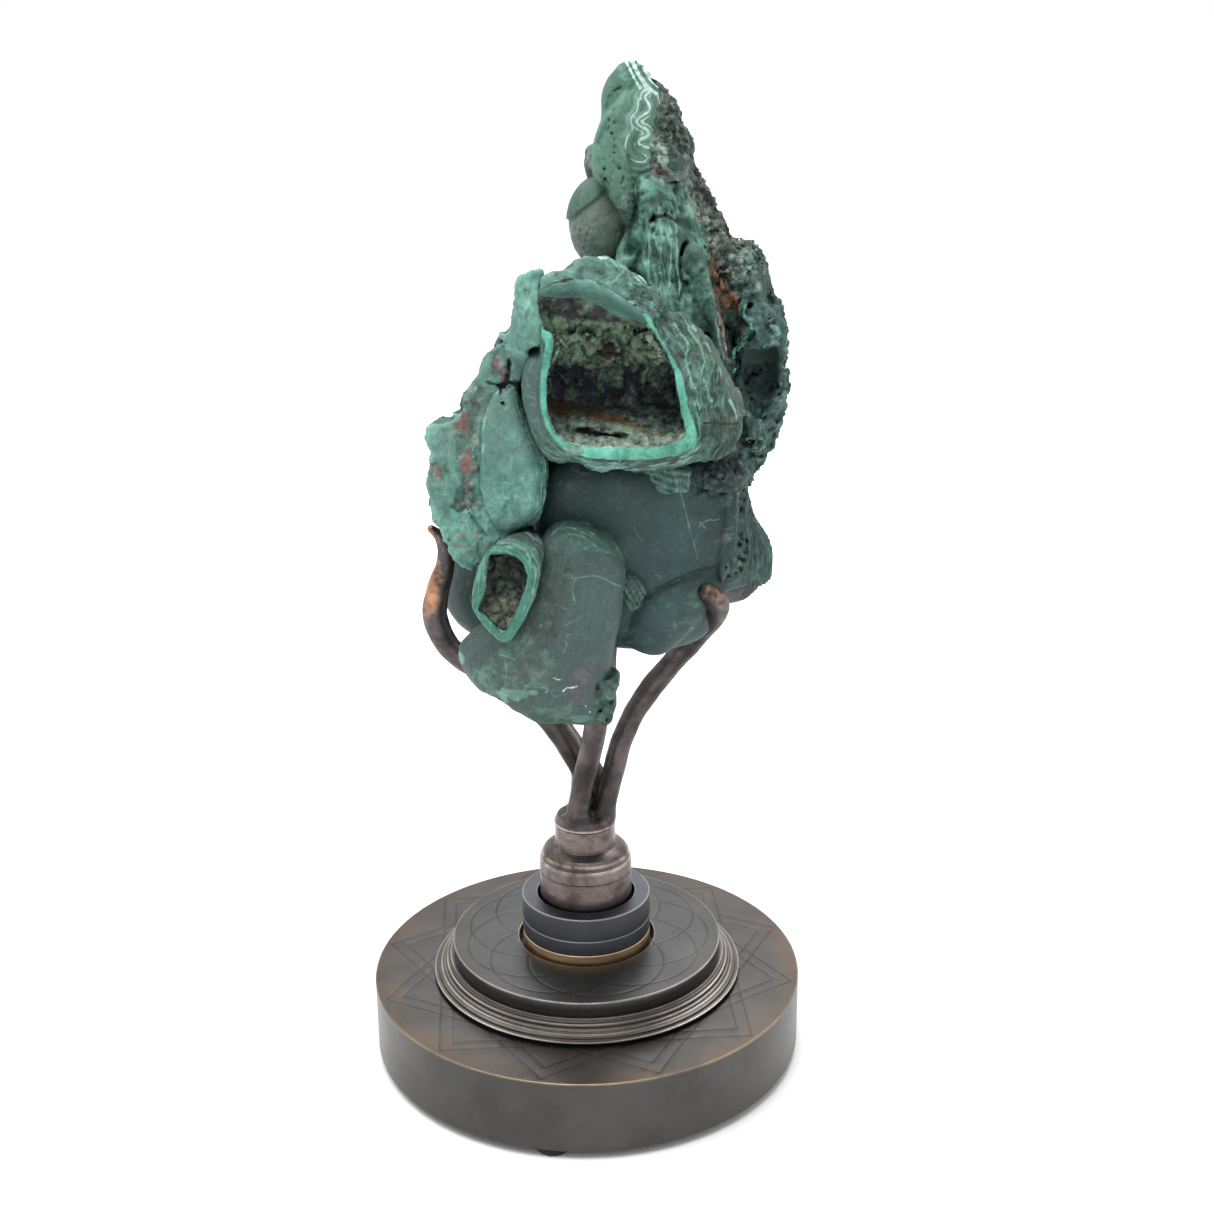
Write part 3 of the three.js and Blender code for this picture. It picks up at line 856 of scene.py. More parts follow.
ROD_FOOT = 88.2
RODS = {
    "prong_front": (
        [(-2.4, -5, ROD_FOOT), (-2.4, -5, 90), (-1.2, -6.3, 98), (0.3, -8, 106),
         (2.9, -12, 119), (4.9, -15.5, 131), (7.5, -17, 146), (9, -17, 158)],
        [(0, 3.9), (0.2, 3.9), (0.8, 4), (1, 3)]),
    "prong_right": (
        [(6.8, -1.6, ROD_FOOT), (6.8, -1.6, 90), (10.2, 0.8, 104), (13.2, 1, 115),
         (17.6, 0, 126), (23.5, -2, 136), (30, -6, 146), (37, -12, 157), (43, -19, 167),
         (44, -26, 174), (40, -32, 180)],
        [(0, 3.9), (0.1, 4), (0.8, 4), (0.95, 4), (1, 3.3)]),
    "prong_left": (
        [(-1.6, 3.5, ROD_FOOT), (-1.6, 3.5, 90), (-1, 3.7, 97), (-1, 3.6, 101),
         (-2.3, 3, 106), (-4.8, 2, 112), (-7.8, 0.8, 117.5), (-11.3, -0.8, 123.5),
         (-18, -2.2, 131), (-27, -3.5, 138), (-36, -6, 145.5), (-42, -9, 151.5),
         (-46, -12, 158), (-48, -15, 167), (-46.5, -18, 177), (-43.5, -20, 186),
         (-43, -22, 192), (-44.5, -24, 197), (-47, -26, 200)],
        [(0, 3.4), (0.08, 3.8), (0.2, 4.1), (0.75, 4.2), (0.9, 3), (1, 1.4)]),
    "prong_back": (
        [(5.2, 6.2, ROD_FOOT), (5.2, 6.2, 90), (5, 8.4, 94.5), (3.4, 11.6, 98.5),
         (-0.5, 16.5, 103), (-5, 22, 106.5), (-8.9, 28.5, 110.5), (-12, 34, 118),
         (-13, 38, 130), (-11.5, 41, 144), (-8, 42, 158), (-5, 40, 169), (-3, 37, 176)],
        [(0, 3.4), (0.1, 3.7), (0.3, 4.1), (0.8, 4.1), (1, 2.6)]),
}
ROD_SIDES = 30
ROUND_END = (25, 48, 66, 80)  # degrees round the rod's tip at which it has a ring
BLOW_SIZE = 9.0  # mm between the hammer's blows


def bent_rod(name, route, taper):
    """A round bar swept along its route by extruding a ring, then hammered."""
    line = [Vector(point) for point in curve_through(route, 1.0)]
    share = np.linspace(0, 1, len(line))
    radii = list(np.interp(share, [t[0] for t in taper], [t[1] for t in taper]))
    aim = (line[-1] - line[-2]).normalized()
    end, thick = line[-1], radii[-1]
    for angle in ROUND_END:
        line.append(end + aim * thick * 0.8 * math.sin(math.radians(angle)))
        radii.append(thick * math.cos(math.radians(angle)))
    shape = bmesh.new()
    bmesh.ops.create_circle(shape, segments=ROD_SIDES, radius=radii[0])
    heading = (line[1] - line[0]).normalized()
    bmesh.ops.rotate(shape, verts=shape.verts, cent=(0, 0, 0),
                     matrix=Vector((0, 0, 1)).rotation_difference(heading).to_matrix())
    bmesh.ops.translate(shape, verts=shape.verts, vec=line[0])
    ring = shape.edges[:]
    for i in range(1, len(line)):
        made = bmesh.ops.extrude_edge_only(shape, edges=ring)["geom"]
        ring = [e for e in made if isinstance(e, bmesh.types.BMEdge)]
        moved = [v for v in made if isinstance(v, bmesh.types.BMVert)]
        ahead = (line[min(i + 1, len(line) - 1)] - line[i - 1]).normalized()
        bend = heading.rotation_difference(ahead).to_matrix()
        bmesh.ops.translate(shape, verts=moved, vec=line[i] - line[i - 1])
        bmesh.ops.rotate(shape, verts=moved, cent=line[i], matrix=bend)
        ratio = radii[i] / radii[i - 1]
        bmesh.ops.scale(shape, vec=(ratio,) * 3, space=Matrix.Translation(-line[i]), verts=moved)
        heading = ahead
    bmesh.ops.holes_fill(shape, edges=[e for e in shape.edges if e.is_boundary], sides=0)
    bmesh.ops.recalc_face_normals(shape, faces=shape.faces)
    place = np.array([v.co for v in shape.verts], np.float32)
    side = np.array([v.normal for v in shape.verts], np.float32)
    blow = grains(place, BLOW_SIZE, 31)[0] / BLOW_SIZE
    dent = 0.34 * rough(place, 11, 32) - 0.45 * np.clip(blow, 0, 0.7) + 0.12
    dent = dent + 0.05 * rough(place, 3, 33)
    dent = dent * rise(0, 6, place[:, 2] - ROD_FOOT)
    for vert, by in zip(shape.verts, dent):
        vert.co += vert.normal * float(by)
    mesh = write_mesh(name, shape, 60)
    worn_and_lit = mesh.attributes.new("worn_and_lit", "FLOAT", "POINT")
    wear_and_highlight = np.zeros(len(place), np.float32)
    # copper rubs near the rods' ends, partly a painted highlight
    if name == "left_rod":
        wear_and_highlight = rise(163, 172, place[:, 2]) * (0.5 + 0.5 * near(place[:, 2], 180, 9))
        # stronger on the left rod's left-facing side: painted highlight
        wear_and_highlight = wear_and_highlight * (0.35 + 0.75 * rise(0.5, -0.4, side[:, 0]))
        wear_and_highlight = np.maximum(wear_and_highlight, 0.9 * rise(193, 198, place[:, 2]))
    # the right rod's tip rubbed copper, partly a painted highlight
    elif name == "right_rod":
        wear_and_highlight = 0.8 * rise(172, 180, place[:, 2])
    worn_and_lit.data.foreach_set("value", wear_and_highlight.astype(np.float32))
    finish_piece(name, mesh, rod_metal, ["prong_" + name.split("_")[0]])


for node_name, (route, taper) in RODS.items():
    bent_rod(node_name.split("_")[1] + "_rod", route, taper)


def braze_body(p):
    """Brazing metal run between the rods' feet and down on to the ferrule's top."""
    x, y, z = p.T
    whole = both(np.hypot(x, y) - 9.6, z - 88.4, 1.5)
    for route, _ in RODS.values():
        line = curve_through(route, 1.5)
        line = line[line[:, 2] < 112]
        best = np.full(len(p), 1e9)
        for a, b in zip(line, line[1:]):
            run = b - a
            t = np.clip(((p - a) @ run) / (run @ run), 0, 1)
            best = np.minimum(best, ((p - a - t[:, None] * run) ** 2).sum(axis=1))
        thick = 4.0 - 0.2 * rise(90, 96, z) - 0.6 * rise(97, 106, z)
        whole = join(whole, np.sqrt(best) - thick, 3.2)
    return both(both(whole, z - 108, 1), 86.5 - z, 1)


grow("braze", (-16, -16, 84), (20, 20, 110), 0.55, braze_body,
     lambda p: 0.25 * rough(p, 4, 35) + 0.1 * rough(p, 1.5, 36),
     lambda p: {"worn_and_lit": 0.15 * rise(100, 92, p[:, 2])}, rod_metal, None)

# ---------------------------------------------------------------- grown stone: materials

# crumb also paints the crumbs' crowns lighter and their crevices darker, as light and shade; dark
# paints near-black, in places as shade in pits, holes, creases and hollows; white is in places a
# painted highlight on the crust's folds
MARKS = ("fresh", "rim", "druse", "rust", "crust", "white", "line", "red", "dark", "crack",
         "lined", "across", "along", "plum", "teal", "pale", "even", "crumb")


def close(away):
    """A mark for a thin line: 1 on it, falling evenly to 0 at 3 mm, so that it stays crisp."""
    return np.clip(1 - away / 3, 0, 1)


WOBBLE = 0.3  # how much of the crumbs' shake a scratch takes, and so how far it strays
SHAKE = 3.2  # mm


def scratches(tree, place, routes):
    """1 along hair-thin scratches, given as routes across the front, in mm."""
    flat = node(tree, "ShaderNodeVectorMath", {0: place, 1: (1, 0, 1)},
                operation="MULTIPLY").outputs[0]
    nearest = 1.0
    for route in routes:
        for a, b in zip(route, route[1:]):
            start, end = (Vector((x, 0, z)) * MM for x, z in (a, b))
            run = end - start
            start += Vector((1, 0, 1)) * SHAKE * WOBBLE / 2 * MM
            there = node(tree, "ShaderNodeVectorMath", {0: flat, 1: start},
                         operation="SUBTRACT").outputs[0]
            along = node(tree, "ShaderNodeVectorMath", {0: there, 1: run / run.length_squared},
                         operation="DOT_PRODUCT").outputs["Value"]
            along = node(tree, "ShaderNodeMath", {0: along, 1: 0.0}, operation="ADD",
                         use_clamp=True).outputs[0]
            foot = node(tree, "ShaderNodeVectorMath", {0: tuple(run), "Scale": along},
                        operation="SCALE").outputs[0]
            away = node(tree, "ShaderNodeVectorMath", {0: there, 1: foot},
                        operation="DISTANCE").outputs["Value"]
            nearest = node(tree, "ShaderNodeMath", {0: nearest, 1: away},
                           operation="MINIMUM").outputs[0]
    return node(tree, "ShaderNodeMapRange", {
        "Value": nearest, "From Min": 0.05 * MM, "From Max": 0.28 * MM, "To Min": 1.0,
        "To Max": 0.0}).outputs[0]


def malachite(name, skin, fresh, lip=("#3f8f7a", "#6cbfa8"), gloss=0.5, veined=0.3, dotted=0.5,
              scratched=()):
    """Malachite: a smooth dark skin, paler mint green where it is broken, bright green bands at
    the geodes' lips, olive and brown druse in their hollows, and grey-brown crust with rusty
    limonite. Matt to waxy, cloudy at every size, with hair-thin pale veins and fine pits; the pits
    and the crumbs' crevices are painted dark as shade, and the crumbs' crowns painted light."""
    material, tree, shader, place = new_material(name)
    marks = {label: node(tree, "ShaderNodeAttribute", attribute_name=label).outputs["Fac"]
             for label in MARKS}
    cloud = node(tree, "ShaderNodeTexNoise", {
        "Vector": place, "Scale": 1000 / 26, "Detail": 4.0, "Roughness": 0.55}).outputs[0]
    mottle = node(tree, "ShaderNodeTexNoise", {
        "Vector": place, "Scale": 1000 / 5.5, "Detail": 6.0, "Roughness": 0.68,
        "Distortion": 0.8}).outputs[0]
    speck = node(tree, "ShaderNodeTexNoise", {
        "Vector": place, "Scale": 1000 / 0.9, "Detail": 3.0, "Roughness": 0.7}).outputs[0]
    wander = node(tree, "ShaderNodeTexNoise", {
        "Vector": place, "Scale": 1000 / 15, "Detail": 3.0, "Roughness": 0.6,
        "Distortion": 1.2}).outputs[0]
    pits = node(tree, "ShaderNodeTexVoronoi", {
        "Vector": place, "Scale": 1000 / 2.6, "Randomness": 1.0}).outputs["Distance"]
    shake = node(tree, "ShaderNodeTexNoise", {
        "Vector": place, "Scale": 1000 / 1.7, "Detail": 4.0, "Roughness": 0.65}).outputs["Color"]
    shake = node(tree, "ShaderNodeVectorMath", {0: shake, "Scale": SHAKE * MM},
                 operation="SCALE").outputs[0]
    shake = node(tree, "ShaderNodeVectorMath", {0: place, 1: shake}, operation="ADD").outputs[0]
    crumbs = node(tree, "ShaderNodeTexVoronoi", {
        "Vector": shake, "Scale": 1000 / 2.3, "Randomness": 1.0}).outputs["Distance"]
    crevice = node(tree, "ShaderNodeMapRange", {
        "Value": crumbs, "From Min": 0.44, "From Max": 0.9}).outputs[0]
    crevice = node(tree, "ShaderNodeMath", {0: crevice, 1: marks["crumb"]},
                   operation="MULTIPLY").outputs[0]
    # each crumb's crown painted lighter and its edges darker: painted light and shade over the
    # bumped crumbs
    lit_crown = node(tree, "ShaderNodeMapRange", {
        "Value": crumbs, "From Min": 0.2, "From Max": 0.8, "To Min": 0.35, "To Max": -0.35})
    lit_crown = node(tree, "ShaderNodeMath", {0: lit_crown.outputs[0], 1: marks["crumb"]},
                 operation="MULTIPLY").outputs[0]
    blotch = node(tree, "ShaderNodeMapRange", {
        "Value": mottle, "From Min": 0.36, "From Max": 0.64}).outputs[0]
    blotch = node(tree, "ShaderNodeMix", {0: marks["even"], 2: blotch, 3: 0.5}).outputs[0]

    drift = node(tree, "ShaderNodeMapRange", {
        "Value": cloud, "From Min": 0.36, "From Max": 0.64}).outputs[0]
    tint = node(tree, "ShaderNodeMix", {
        0: drift, 6: linear(skin[0]), 7: linear(skin[1])}, data_type="RGBA").outputs[2]
    dust = node(tree, "ShaderNodeMapRange", {
        "Value": mottle, "From Min": 0.45, "From Max": 0.72, "To Max": 0.6}).outputs[0]
    tint = node(tree, "ShaderNodeMix", {
        0: dust, 6: tint, 7: linear(skin[2])}, data_type="RGBA").outputs[2]

    # broken faces: flakes and streaks of lighter and darker growth layers
    run = node(tree, "ShaderNodeCombineXYZ", {0: marks["across"], 1: marks["along"]}).outputs[0]
    bands = node(tree, "ShaderNodeTexNoise", {
        "Vector": run, "Scale": 0.62, "Detail": 4.0, "Roughness": 0.6}).outputs[0]
    swing = node(tree, "ShaderNodeMapRange", {
        "Value": bands, "From Min": 0.3, "From Max": 0.7, "To Min": -0.75, "To Max": 0.75})
    swing = node(tree, "ShaderNodeMath", {0: swing.outputs[0], 1: marks["lined"]},
                 operation="MULTIPLY").outputs[0]
    layer = node(tree, "ShaderNodeMath", {0: marks["line"], 1: blotch}, operation="ADD").outputs[0]
    layer = node(tree, "ShaderNodeMath", {0: layer, 1: swing}, operation="ADD").outputs[0]
    layer = node(tree, "ShaderNodeMath", {0: layer, 1: lit_crown}, operation="ADD").outputs[0]
    layer = node(tree, "ShaderNodeMapRange", {
        "Value": layer, "From Min": 0.3, "From Max": 1.7}).outputs[0]
    broken = node(tree, "ShaderNodeMix", {
        0: layer, 6: linear(fresh[0]), 7: linear(fresh[1])}, data_type="RGBA").outputs[2]
    stain = node(tree, "ShaderNodeMapRange", {
        "Value": cloud, "From Min": 0.5, "From Max": 0.6, "To Max": 0.65}).outputs[0]
    broken = node(tree, "ShaderNodeMix", {
        0: stain, 6: broken, 7: linear(fresh[2])}, data_type="RGBA").outputs[2]

    # each mark's colours, darkest growth layer to lightest, and how soft its edge is
    finishes = [("fresh", broken, 0.22)]
    for label, by, (dark, light), soft in (
            ("crust", layer, ("#2b3831", "#93a79a"), 0.14),
            ("druse", layer, ("#454854", "#cdeac8"), 0.1),
            ("plum", layer, ("#353438", "#807b80"), 0.2),
            ("rust", layer, ("#261f1c", "#a67a5a"), 0.2),
            ("red", blotch, ("#6b4a48", "#86706a"), 0.1),
            ("teal", layer, ("#55817a", "#9ad2c6"), 0.12),
            ("rim", layer, lip, 0.1)):
        finish = node(tree, "ShaderNodeMix", {
            0: by, 6: linear(dark), 7: linear(light)}, data_type="RGBA").outputs[2]
        finishes.append((label, finish, soft))
    white = node(tree, "ShaderNodeMix", {
        0: speck, 6: linear("#9ccabb"), 7: linear("#dff4ec")}, data_type="RGBA").outputs[2]
    fray = node(tree, "ShaderNodeMapRange", {
        "Value": mottle, "From Min": 0.3, "From Max": 0.7, "To Min": -0.28,
        "To Max": 0.28}).outputs[0]
    for label, finish, soft in finishes:
        frayed = node(tree, "ShaderNodeMath", {0: marks[label], 1: fray},
                      operation="ADD").outputs[0]
        share = node(tree, "ShaderNodeMapRange", {
            "Value": frayed, "From Min": 0.51 - soft, "From Max": 0.51 + soft},
            interpolation_type="SMOOTHSTEP").outputs[0]
        tint = node(tree, "ShaderNodeMix", {0: share, 6: tint, 7: finish},
                    data_type="RGBA").outputs[2]

    # thin pale lines along the growth layers, and the milky bands themselves
    thin = node(tree, "ShaderNodeTexNoise", {
        "Vector": run, "Scale": 0.27, "Detail": 3.0, "Roughness": 0.62}).outputs[0]
    thin = node(tree, "ShaderNodeMath", {0: thin, 1: 0.5}, operation="SUBTRACT").outputs[0]
    thin = node(tree, "ShaderNodeMath", {0: thin}, operation="ABSOLUTE").outputs[0]
    thin = node(tree, "ShaderNodeMapRange", {
        "Value": thin, "From Min": 0.004, "From Max": 0.02, "To Min": 0.6, "To Max": 0.0})
    thin = node(tree, "ShaderNodeMath", {0: thin.outputs[0], 1: marks["lined"]},
                operation="MULTIPLY").outputs[0]
    tint = node(tree, "ShaderNodeMix", {0: thin, 6: tint, 7: linear("#93c4b3")},
                data_type="RGBA").outputs[2]
    drawn = {}
    for label, fraying, low, high, most, ease in (
            ("pale", 0.16, 0.82, 0.95, 0.8, "LINEAR"),
            ("white", 0.16, 0.82, 0.93, 1.0, "SMOOTHSTEP"),
            ("crack", 0.3, 0.86, 0.96, 0.9, "LINEAR")):
        frayed = node(tree, "ShaderNodeMath", {0: fray, 1: fraying},
                      operation="MULTIPLY").outputs[0]
        frayed = node(tree, "ShaderNodeMath", {0: marks[label], 1: frayed},
                      operation="ADD").outputs[0]
        drawn[label] = node(tree, "ShaderNodeMapRange", {
            "Value": frayed, "From Min": low, "From Max": high, "To Max": most},
            interpolation_type=ease).outputs[0]
    for share, finish in ((drawn["pale"], linear("#8bbfad")), (drawn["white"], white)):
        tint = node(tree, "ShaderNodeMix", {0: share, 6: tint, 7: finish},
                    data_type="RGBA").outputs[2]

    if scratched:
        wobble = node(tree, "ShaderNodeVectorMath", {0: shake, "Scale": WOBBLE},
                      operation="SCALE").outputs[0]
        wobble = node(tree, "ShaderNodeVectorMath", {
            0: node(tree, "ShaderNodeVectorMath", {0: place, "Scale": 1 - WOBBLE},
                    operation="SCALE").outputs[0], 1: wobble}, operation="ADD").outputs[0]
        faint = node(tree, "ShaderNodeMapRange", {
            "Value": mottle, "From Min": 0.36, "From Max": 0.6, "To Min": 0.0, "To Max": 0.42})
        faint = node(tree, "ShaderNodeMath", {
            0: faint.outputs[0], 1: scratches(tree, wobble, scratched)},
            operation="MULTIPLY").outputs[0]
        tint = node(tree, "ShaderNodeMix", {0: faint, 6: tint, 7: linear("#8bbfad")},
                    data_type="RGBA").outputs[2]

    # pale veins where the slow noise crosses its middle, faded in places
    off = node(tree, "ShaderNodeMath", {0: wander, 1: 0.5}, operation="SUBTRACT").outputs[0]
    off = node(tree, "ShaderNodeMath", {0: off}, operation="ABSOLUTE").outputs[0]
    vein = node(tree, "ShaderNodeMapRange", {
        "Value": off, "From Min": 0.0015, "From Max": 0.011, "To Min": veined,
        "To Max": 0.0}).outputs[0]
    vein = node(tree, "ShaderNodeMath", {0: vein, 1: blotch}, operation="MULTIPLY").outputs[0]
    tint = node(tree, "ShaderNodeMix", {0: vein, 6: tint, 7: linear("#a9cfc2")},
                data_type="RGBA").outputs[2]
    # near-black in some fine pits and, at half strength, in the crumbs' crevices: painted shade;
    # also along cracks and where the dark mark asks, in places painted shade
    dot = node(tree, "ShaderNodeMapRange", {
        "Value": pits, "From Min": 0.06, "From Max": 0.2, "To Min": dotted, "To Max": 0.0})
    rare = node(tree, "ShaderNodeMapRange", {
        "Value": mottle, "From Min": 0.42, "From Max": 0.56}).outputs[0]
    dot = node(tree, "ShaderNodeMath", {0: dot.outputs[0], 1: rare},
               operation="MULTIPLY").outputs[0]
    shadowed = node(tree, "ShaderNodeMath", {0: crevice, 1: 0.5}, operation="MULTIPLY").outputs[0]
    for other in (drawn["crack"], shadowed):
        dot = node(tree, "ShaderNodeMath", {0: dot, 1: other}, operation="MAXIMUM").outputs[0]
    dot = node(tree, "ShaderNodeMath", {0: dot, 1: marks["dark"]}, operation="ADD",
               use_clamp=True).outputs[0]
    grain = node(tree, "ShaderNodeMapRange", {
        "Value": speck, "From Min": 0.3, "From Max": 0.7, "To Min": 0.78, "To Max": 1.18})
    tint = node(tree, "ShaderNodeMix", {0: 1.0, 6: tint, 7: grain.outputs[0]},
                data_type="RGBA", blend_type="MULTIPLY").outputs[2]
    tint = node(tree, "ShaderNodeMix", {0: dot, 6: tint, 7: linear("#131a1a")},
                data_type="RGBA").outputs[2]

    deep = node(tree, "ShaderNodeMapRange", {
        "Value": pits, "From Min": 0.06, "From Max": 0.26}).outputs[0]
    height = node(tree, "ShaderNodeMix", {0: 0.4, 2: mottle, 3: speck}).outputs[0]
    height = node(tree, "ShaderNodeMix", {0: 0.22, 2: height, 3: deep}).outputs[0]
    height = node(tree, "ShaderNodeMath", {0: height, 1: swing}, operation="ADD").outputs[0]
    height = node(tree, "ShaderNodeMath", {0: height, 1: crevice},
                  operation="SUBTRACT").outputs[0]
    relief = node(tree, "ShaderNodeBump", {
        "Height": height, "Strength": 0.55, "Distance": 0.9 * MM})
    dull = node(tree, "ShaderNodeMapRange", {
        "Value": mottle, "From Min": 0.3, "From Max": 0.7, "To Min": gloss, "To Max": gloss + 0.2})
    plug(tree, shader, {
        "Base Color": tint, "Roughness": dull.outputs[0], "Normal": relief.outputs[0],
        "IOR": 1.6, "Specular IOR Level": 0.3})
    return material


BULK_SCRATCHES = ([(32.0, 211), (34.6, 200.3), (36.6, 193), (37.5, 188.7)],
                  [(36.9, 198.7), (40, 201.3), (44.3, 201.5)], [(38, 201.2), (39.9, 198.9)],
                  [(17.2, 200.2), (19.1, 196.6), (20.4, 195.1)])
LOBE_SCRATCHES = ([(-1.5, 188.4), (2.6, 189.3), (6.4, 188.9), (9.7, 186.8), (13.1, 184)],
                  [(-1.5, 188), (-2.3, 184.4), (-1.4, 181)],
                  [(-5.1, 173.3), (-1.6, 174.6), (0.9, 176.6)],
                  [(-3.4, 170.2), (-5, 168.7), (-4, 166.9), (-5.3, 164.1)],
                  [(-26.6, 163.2), (-23.7, 163.4), (-20.6, 162.6), (-20, 160)],
                  [(-23.7, 163), (-23.2, 157.5), (-24.1, 152.5)],
                  [(-14.3, 152.9), (-10.6, 152.7), (-8.4, 149.6), (-4.4, 150.6)])
dark_skin = malachite("malachite_dark_skin", ("#233738", "#37504e", "#435d59"),
                      ("#34534a", "#618a7c", "#4b5f58"), veined=0.05, dotted=0.2,
                      scratched=BULK_SCRATCHES)
grey_skin = malachite("malachite_grey_skin", ("#354844", "#40544f", "#4b6159"),
                      ("#35594d", "#6f9c8c", "#4d5f57"), ("#356b5a", "#4c8b78"), veined=0.08,
                      dotted=0.25, scratched=LOBE_SCRATCHES)
green_skin = malachite("malachite_green_skin", ("#42665a", "#57826f", "#4d6c63"),
                       ("#466f61", "#83ae9e", "#5b7168"), veined=0.15, dotted=0.6)
fractured = malachite("fractured_malachite", ("#39564e", "#4a655d", "#557067"),
                      ("#243f36", "#74a393", "#515a4f"), ("#3d8672", "#70c3ac"))
mint_face = malachite("malachite_mint_face", ("#24433c", "#3b5d54", "#547a6e"),
                      ("#427165", "#76a999", "#5c7a71"), gloss=0.62, veined=0.15, dotted=0.5)
crusted = malachite("crusted_malachite", ("#2c463f", "#40605a", "#5f7d71"),
                    ("#1f4236", "#7aad9b", "#3c534a"), gloss=0.62, veined=0.1, dotted=0.7)

# ---------------------------------------------------------------- grown stone: the large geode

TUBE = Outline([
    (-11.1, 280.9), (-5.5, 283), (-2.6, 283.7), (1.7, 287.1), (8.7, 287), (15.7, 284.2),
    (22.7, 277.9), (27.8, 271.2), (31.2, 270.5), (36.2, 267.1), (40.6, 261.4), (44.0, 256),
    (46.4, 250.2), (49.2, 244.6), (50.8, 238), (48.9, 231.4), (44.4, 226.0), (38.3, 224.2),
    (30.6, 221.8), (24.3, 220.9), (17, 221.8), (11, 222.7), (6.1, 221.3), (-0.7, 224),
    (-6.6, 224.1), (-10.6, 226.8), (-12.3, 231.2), (-14.3, 237.9), (-16.2, 246), (-16.5, 250.4),
    (-14.1, 258), (-13.3, 265.4)], -46, 0.3)
HOLE = Outline([
    (-10.6, 276.4), (-6.9, 279.3), (-2.6, 280.5), (0.7, 280.2), (5.9, 279), (10.5, 276.6),
    (17.1, 272.6), (21.3, 268.8), (22.3, 266.5), (24.3, 262.5), (27, 257.8), (28.7, 253.7),
    (29.7, 249), (30.7, 242.8), (32.1, 236), (32.3, 233.6), (29.4, 231.6), (21.2, 230.2),
    (12.2, 230), (2.8, 230.8), (-3.2, 232.3), (-6.8, 235.1), (-8.4, 240.5), (-8.6, 245.5),
    (-8.2, 252.1), (-6.9, 258.8), (-6.5, 262.1), (-7.3, 264.8), (-10, 266.6), (-10.9, 270.1)],
    -46.5, 0.3)
HOLE_MIDDLE = (12, 252)
HOLE_RADIUS = 26
MILKY_EDGE = ([(7, 286.3), (11.8, 285.9), (15.8, 283.2), (19.4, 280.4), (22.3, 277.6)],
              [(12.4, 284.2), (16.2, 281.6), (19.8, 278.5)])
OUTER_SHEET = [(21, 277.5), (25.5, 270), (29.5, 263), (33, 256), (36.5, 249), (38.8, 242),
               (38.5, 237.2)]
TAWNY_TOP = [(-7.4, 245.6), (1.1, 244.2), (11.7, 240.8), (17.4, 238.6), (27.4, 234.2)]
SHELL_EDGE = [(30, 273.5), (32.8, 269.9), (34.7, 265.4), (38.5, 260.9), (43.1, 252.6),
              (44.6, 245.8), (47.7, 239.6)]
BRIGHT_DOTS = [(16.1, 278.6, 0.9, 0.7), (24.1, 269.4, 1.0, 0.7), (26.7, 275.2, 0.5, 0.5),
               (33.0, 261.2, 0.7, 0.9), (14.3, 280.4, 0.6, 0.4), (25.2, 270.9, 0.6, 0.5),
               (22.4, 272.4, 0.5, 0.7), (32.3, 258.3, 0.5, 0.8), (19.2, 276.4, 0.4, 0.5)]
FLOW_LINES = ([(24.9, 275.7), (26.5, 270.5), (29.4, 266.1), (32.3, 261.6), (32.7, 257.2),
               (32.8, 252.7), (35.0, 246.7), (36.9, 240.6)],
              [(31.6, 270.3), (33.3, 264.4), (36.8, 260.0), (38.4, 255.5), (36.9, 252.5),
               (38.4, 247.2), (40.7, 242.6)],
              [(45.6, 243.8), (48.3, 239.2), (49.5, 235.3)],
              [(7.4, 285.7), (10.3, 284.8), (13.9, 282.8), (11.7, 280.0), (8.8, 279.3)],
              [(10.5, 286.2), (14.6, 283.2), (18.2, 279.9), (21.4, 276.2)])


def cave(p, wider=0.0):
    """The large geode's hollow."""
    return both(HOLE.away(p) - wider, p[:, 1] + 7 - wider, 5)


def flow(across, along, p, size, seed):
    """Thin growth lines, drawn out along the layers and wandering."""
    q = np.stack([across, along * 0.13, p[:, 1] * 0.35], axis=1).astype(np.float32)
    return rise(0.17, 0.0, np.abs(rough(q, size, seed, 2, 0.6)))


def geode_layers(p):
    """The growth layers round the hollow: their depth across, and the way along them."""
    middle_x, middle_z = HOLE_MIDDLE
    around = np.arctan2(p[:, 2] - middle_z, p[:, 0] - middle_x) * HOLE_RADIUS
    return HOLE.away(p) + 2.6 * rough(p, 12, 5), around


def geode_lines(p):
    """1 on the growth lines of the geode's broken face."""
    bent, around = geode_layers(p)
    return flow(bent, around, p, 4.2, 16)


def over_facet(p):
    """Height over the top of the smooth facet at the face's lower right."""
    return p[:, 2] - 236.6 + 0.12 * (p[:, 0] - 38) + 0.8 * rough(p, 6, 14)


def facet_share(p):
    """1 on that facet."""
    return rise(36.5, 38.5, p[:, 0]) * rise(1.0, -1.0, over_facet(p))


def geode_face(p):
    """How far each point is in front of the geode's broken front face."""
    x, y, z = p.T
    lip = np.clip(HOLE.away(p), 0, 22)
    lean = 0.10 + 0.40 * rise(14, 38, x) * rise(218, 238, z)
    face = -46.6 + lean * lip
    over = x - 21 - 0.55 * (277.5 - z)
    sheet = rise(-0.4, 0.5, over + 0.5 * rough(p, 4, 10)) * rise(279, 274, z) * rise(238, 243, z)
    face = face - 1.1 * sheet
    shell = x - side_on(SHELL_EDGE, z)
    shell = rise(-0.3, 0.3, shell + 0.6 * rough(p, 5, 48)) * rise(274, 271, z) * rise(238, 242, z)
    face = face + 1.2 * shell
    under = rise(240, 231, z) * rise(44, 36, x)
    for step in (3.7, 5.0, 6.2, 7.6):
        face = face + 1.2 * under * rise(step - 0.1, step + 0.15, lip + 0.6 * rough(p, 4, 11))
    band = rise(3.6, 3.2, lip) * rise(270, 262, z)
    face = face - 0.5 * band - 0.35 * near(lip, 4.4, 0.9) * rise(20, 26, x) * rise(262, 256, z)
    face = face + 8.5 * rise(-9.9, -11.2, x) * rise(256, 259, z)
    return face - y


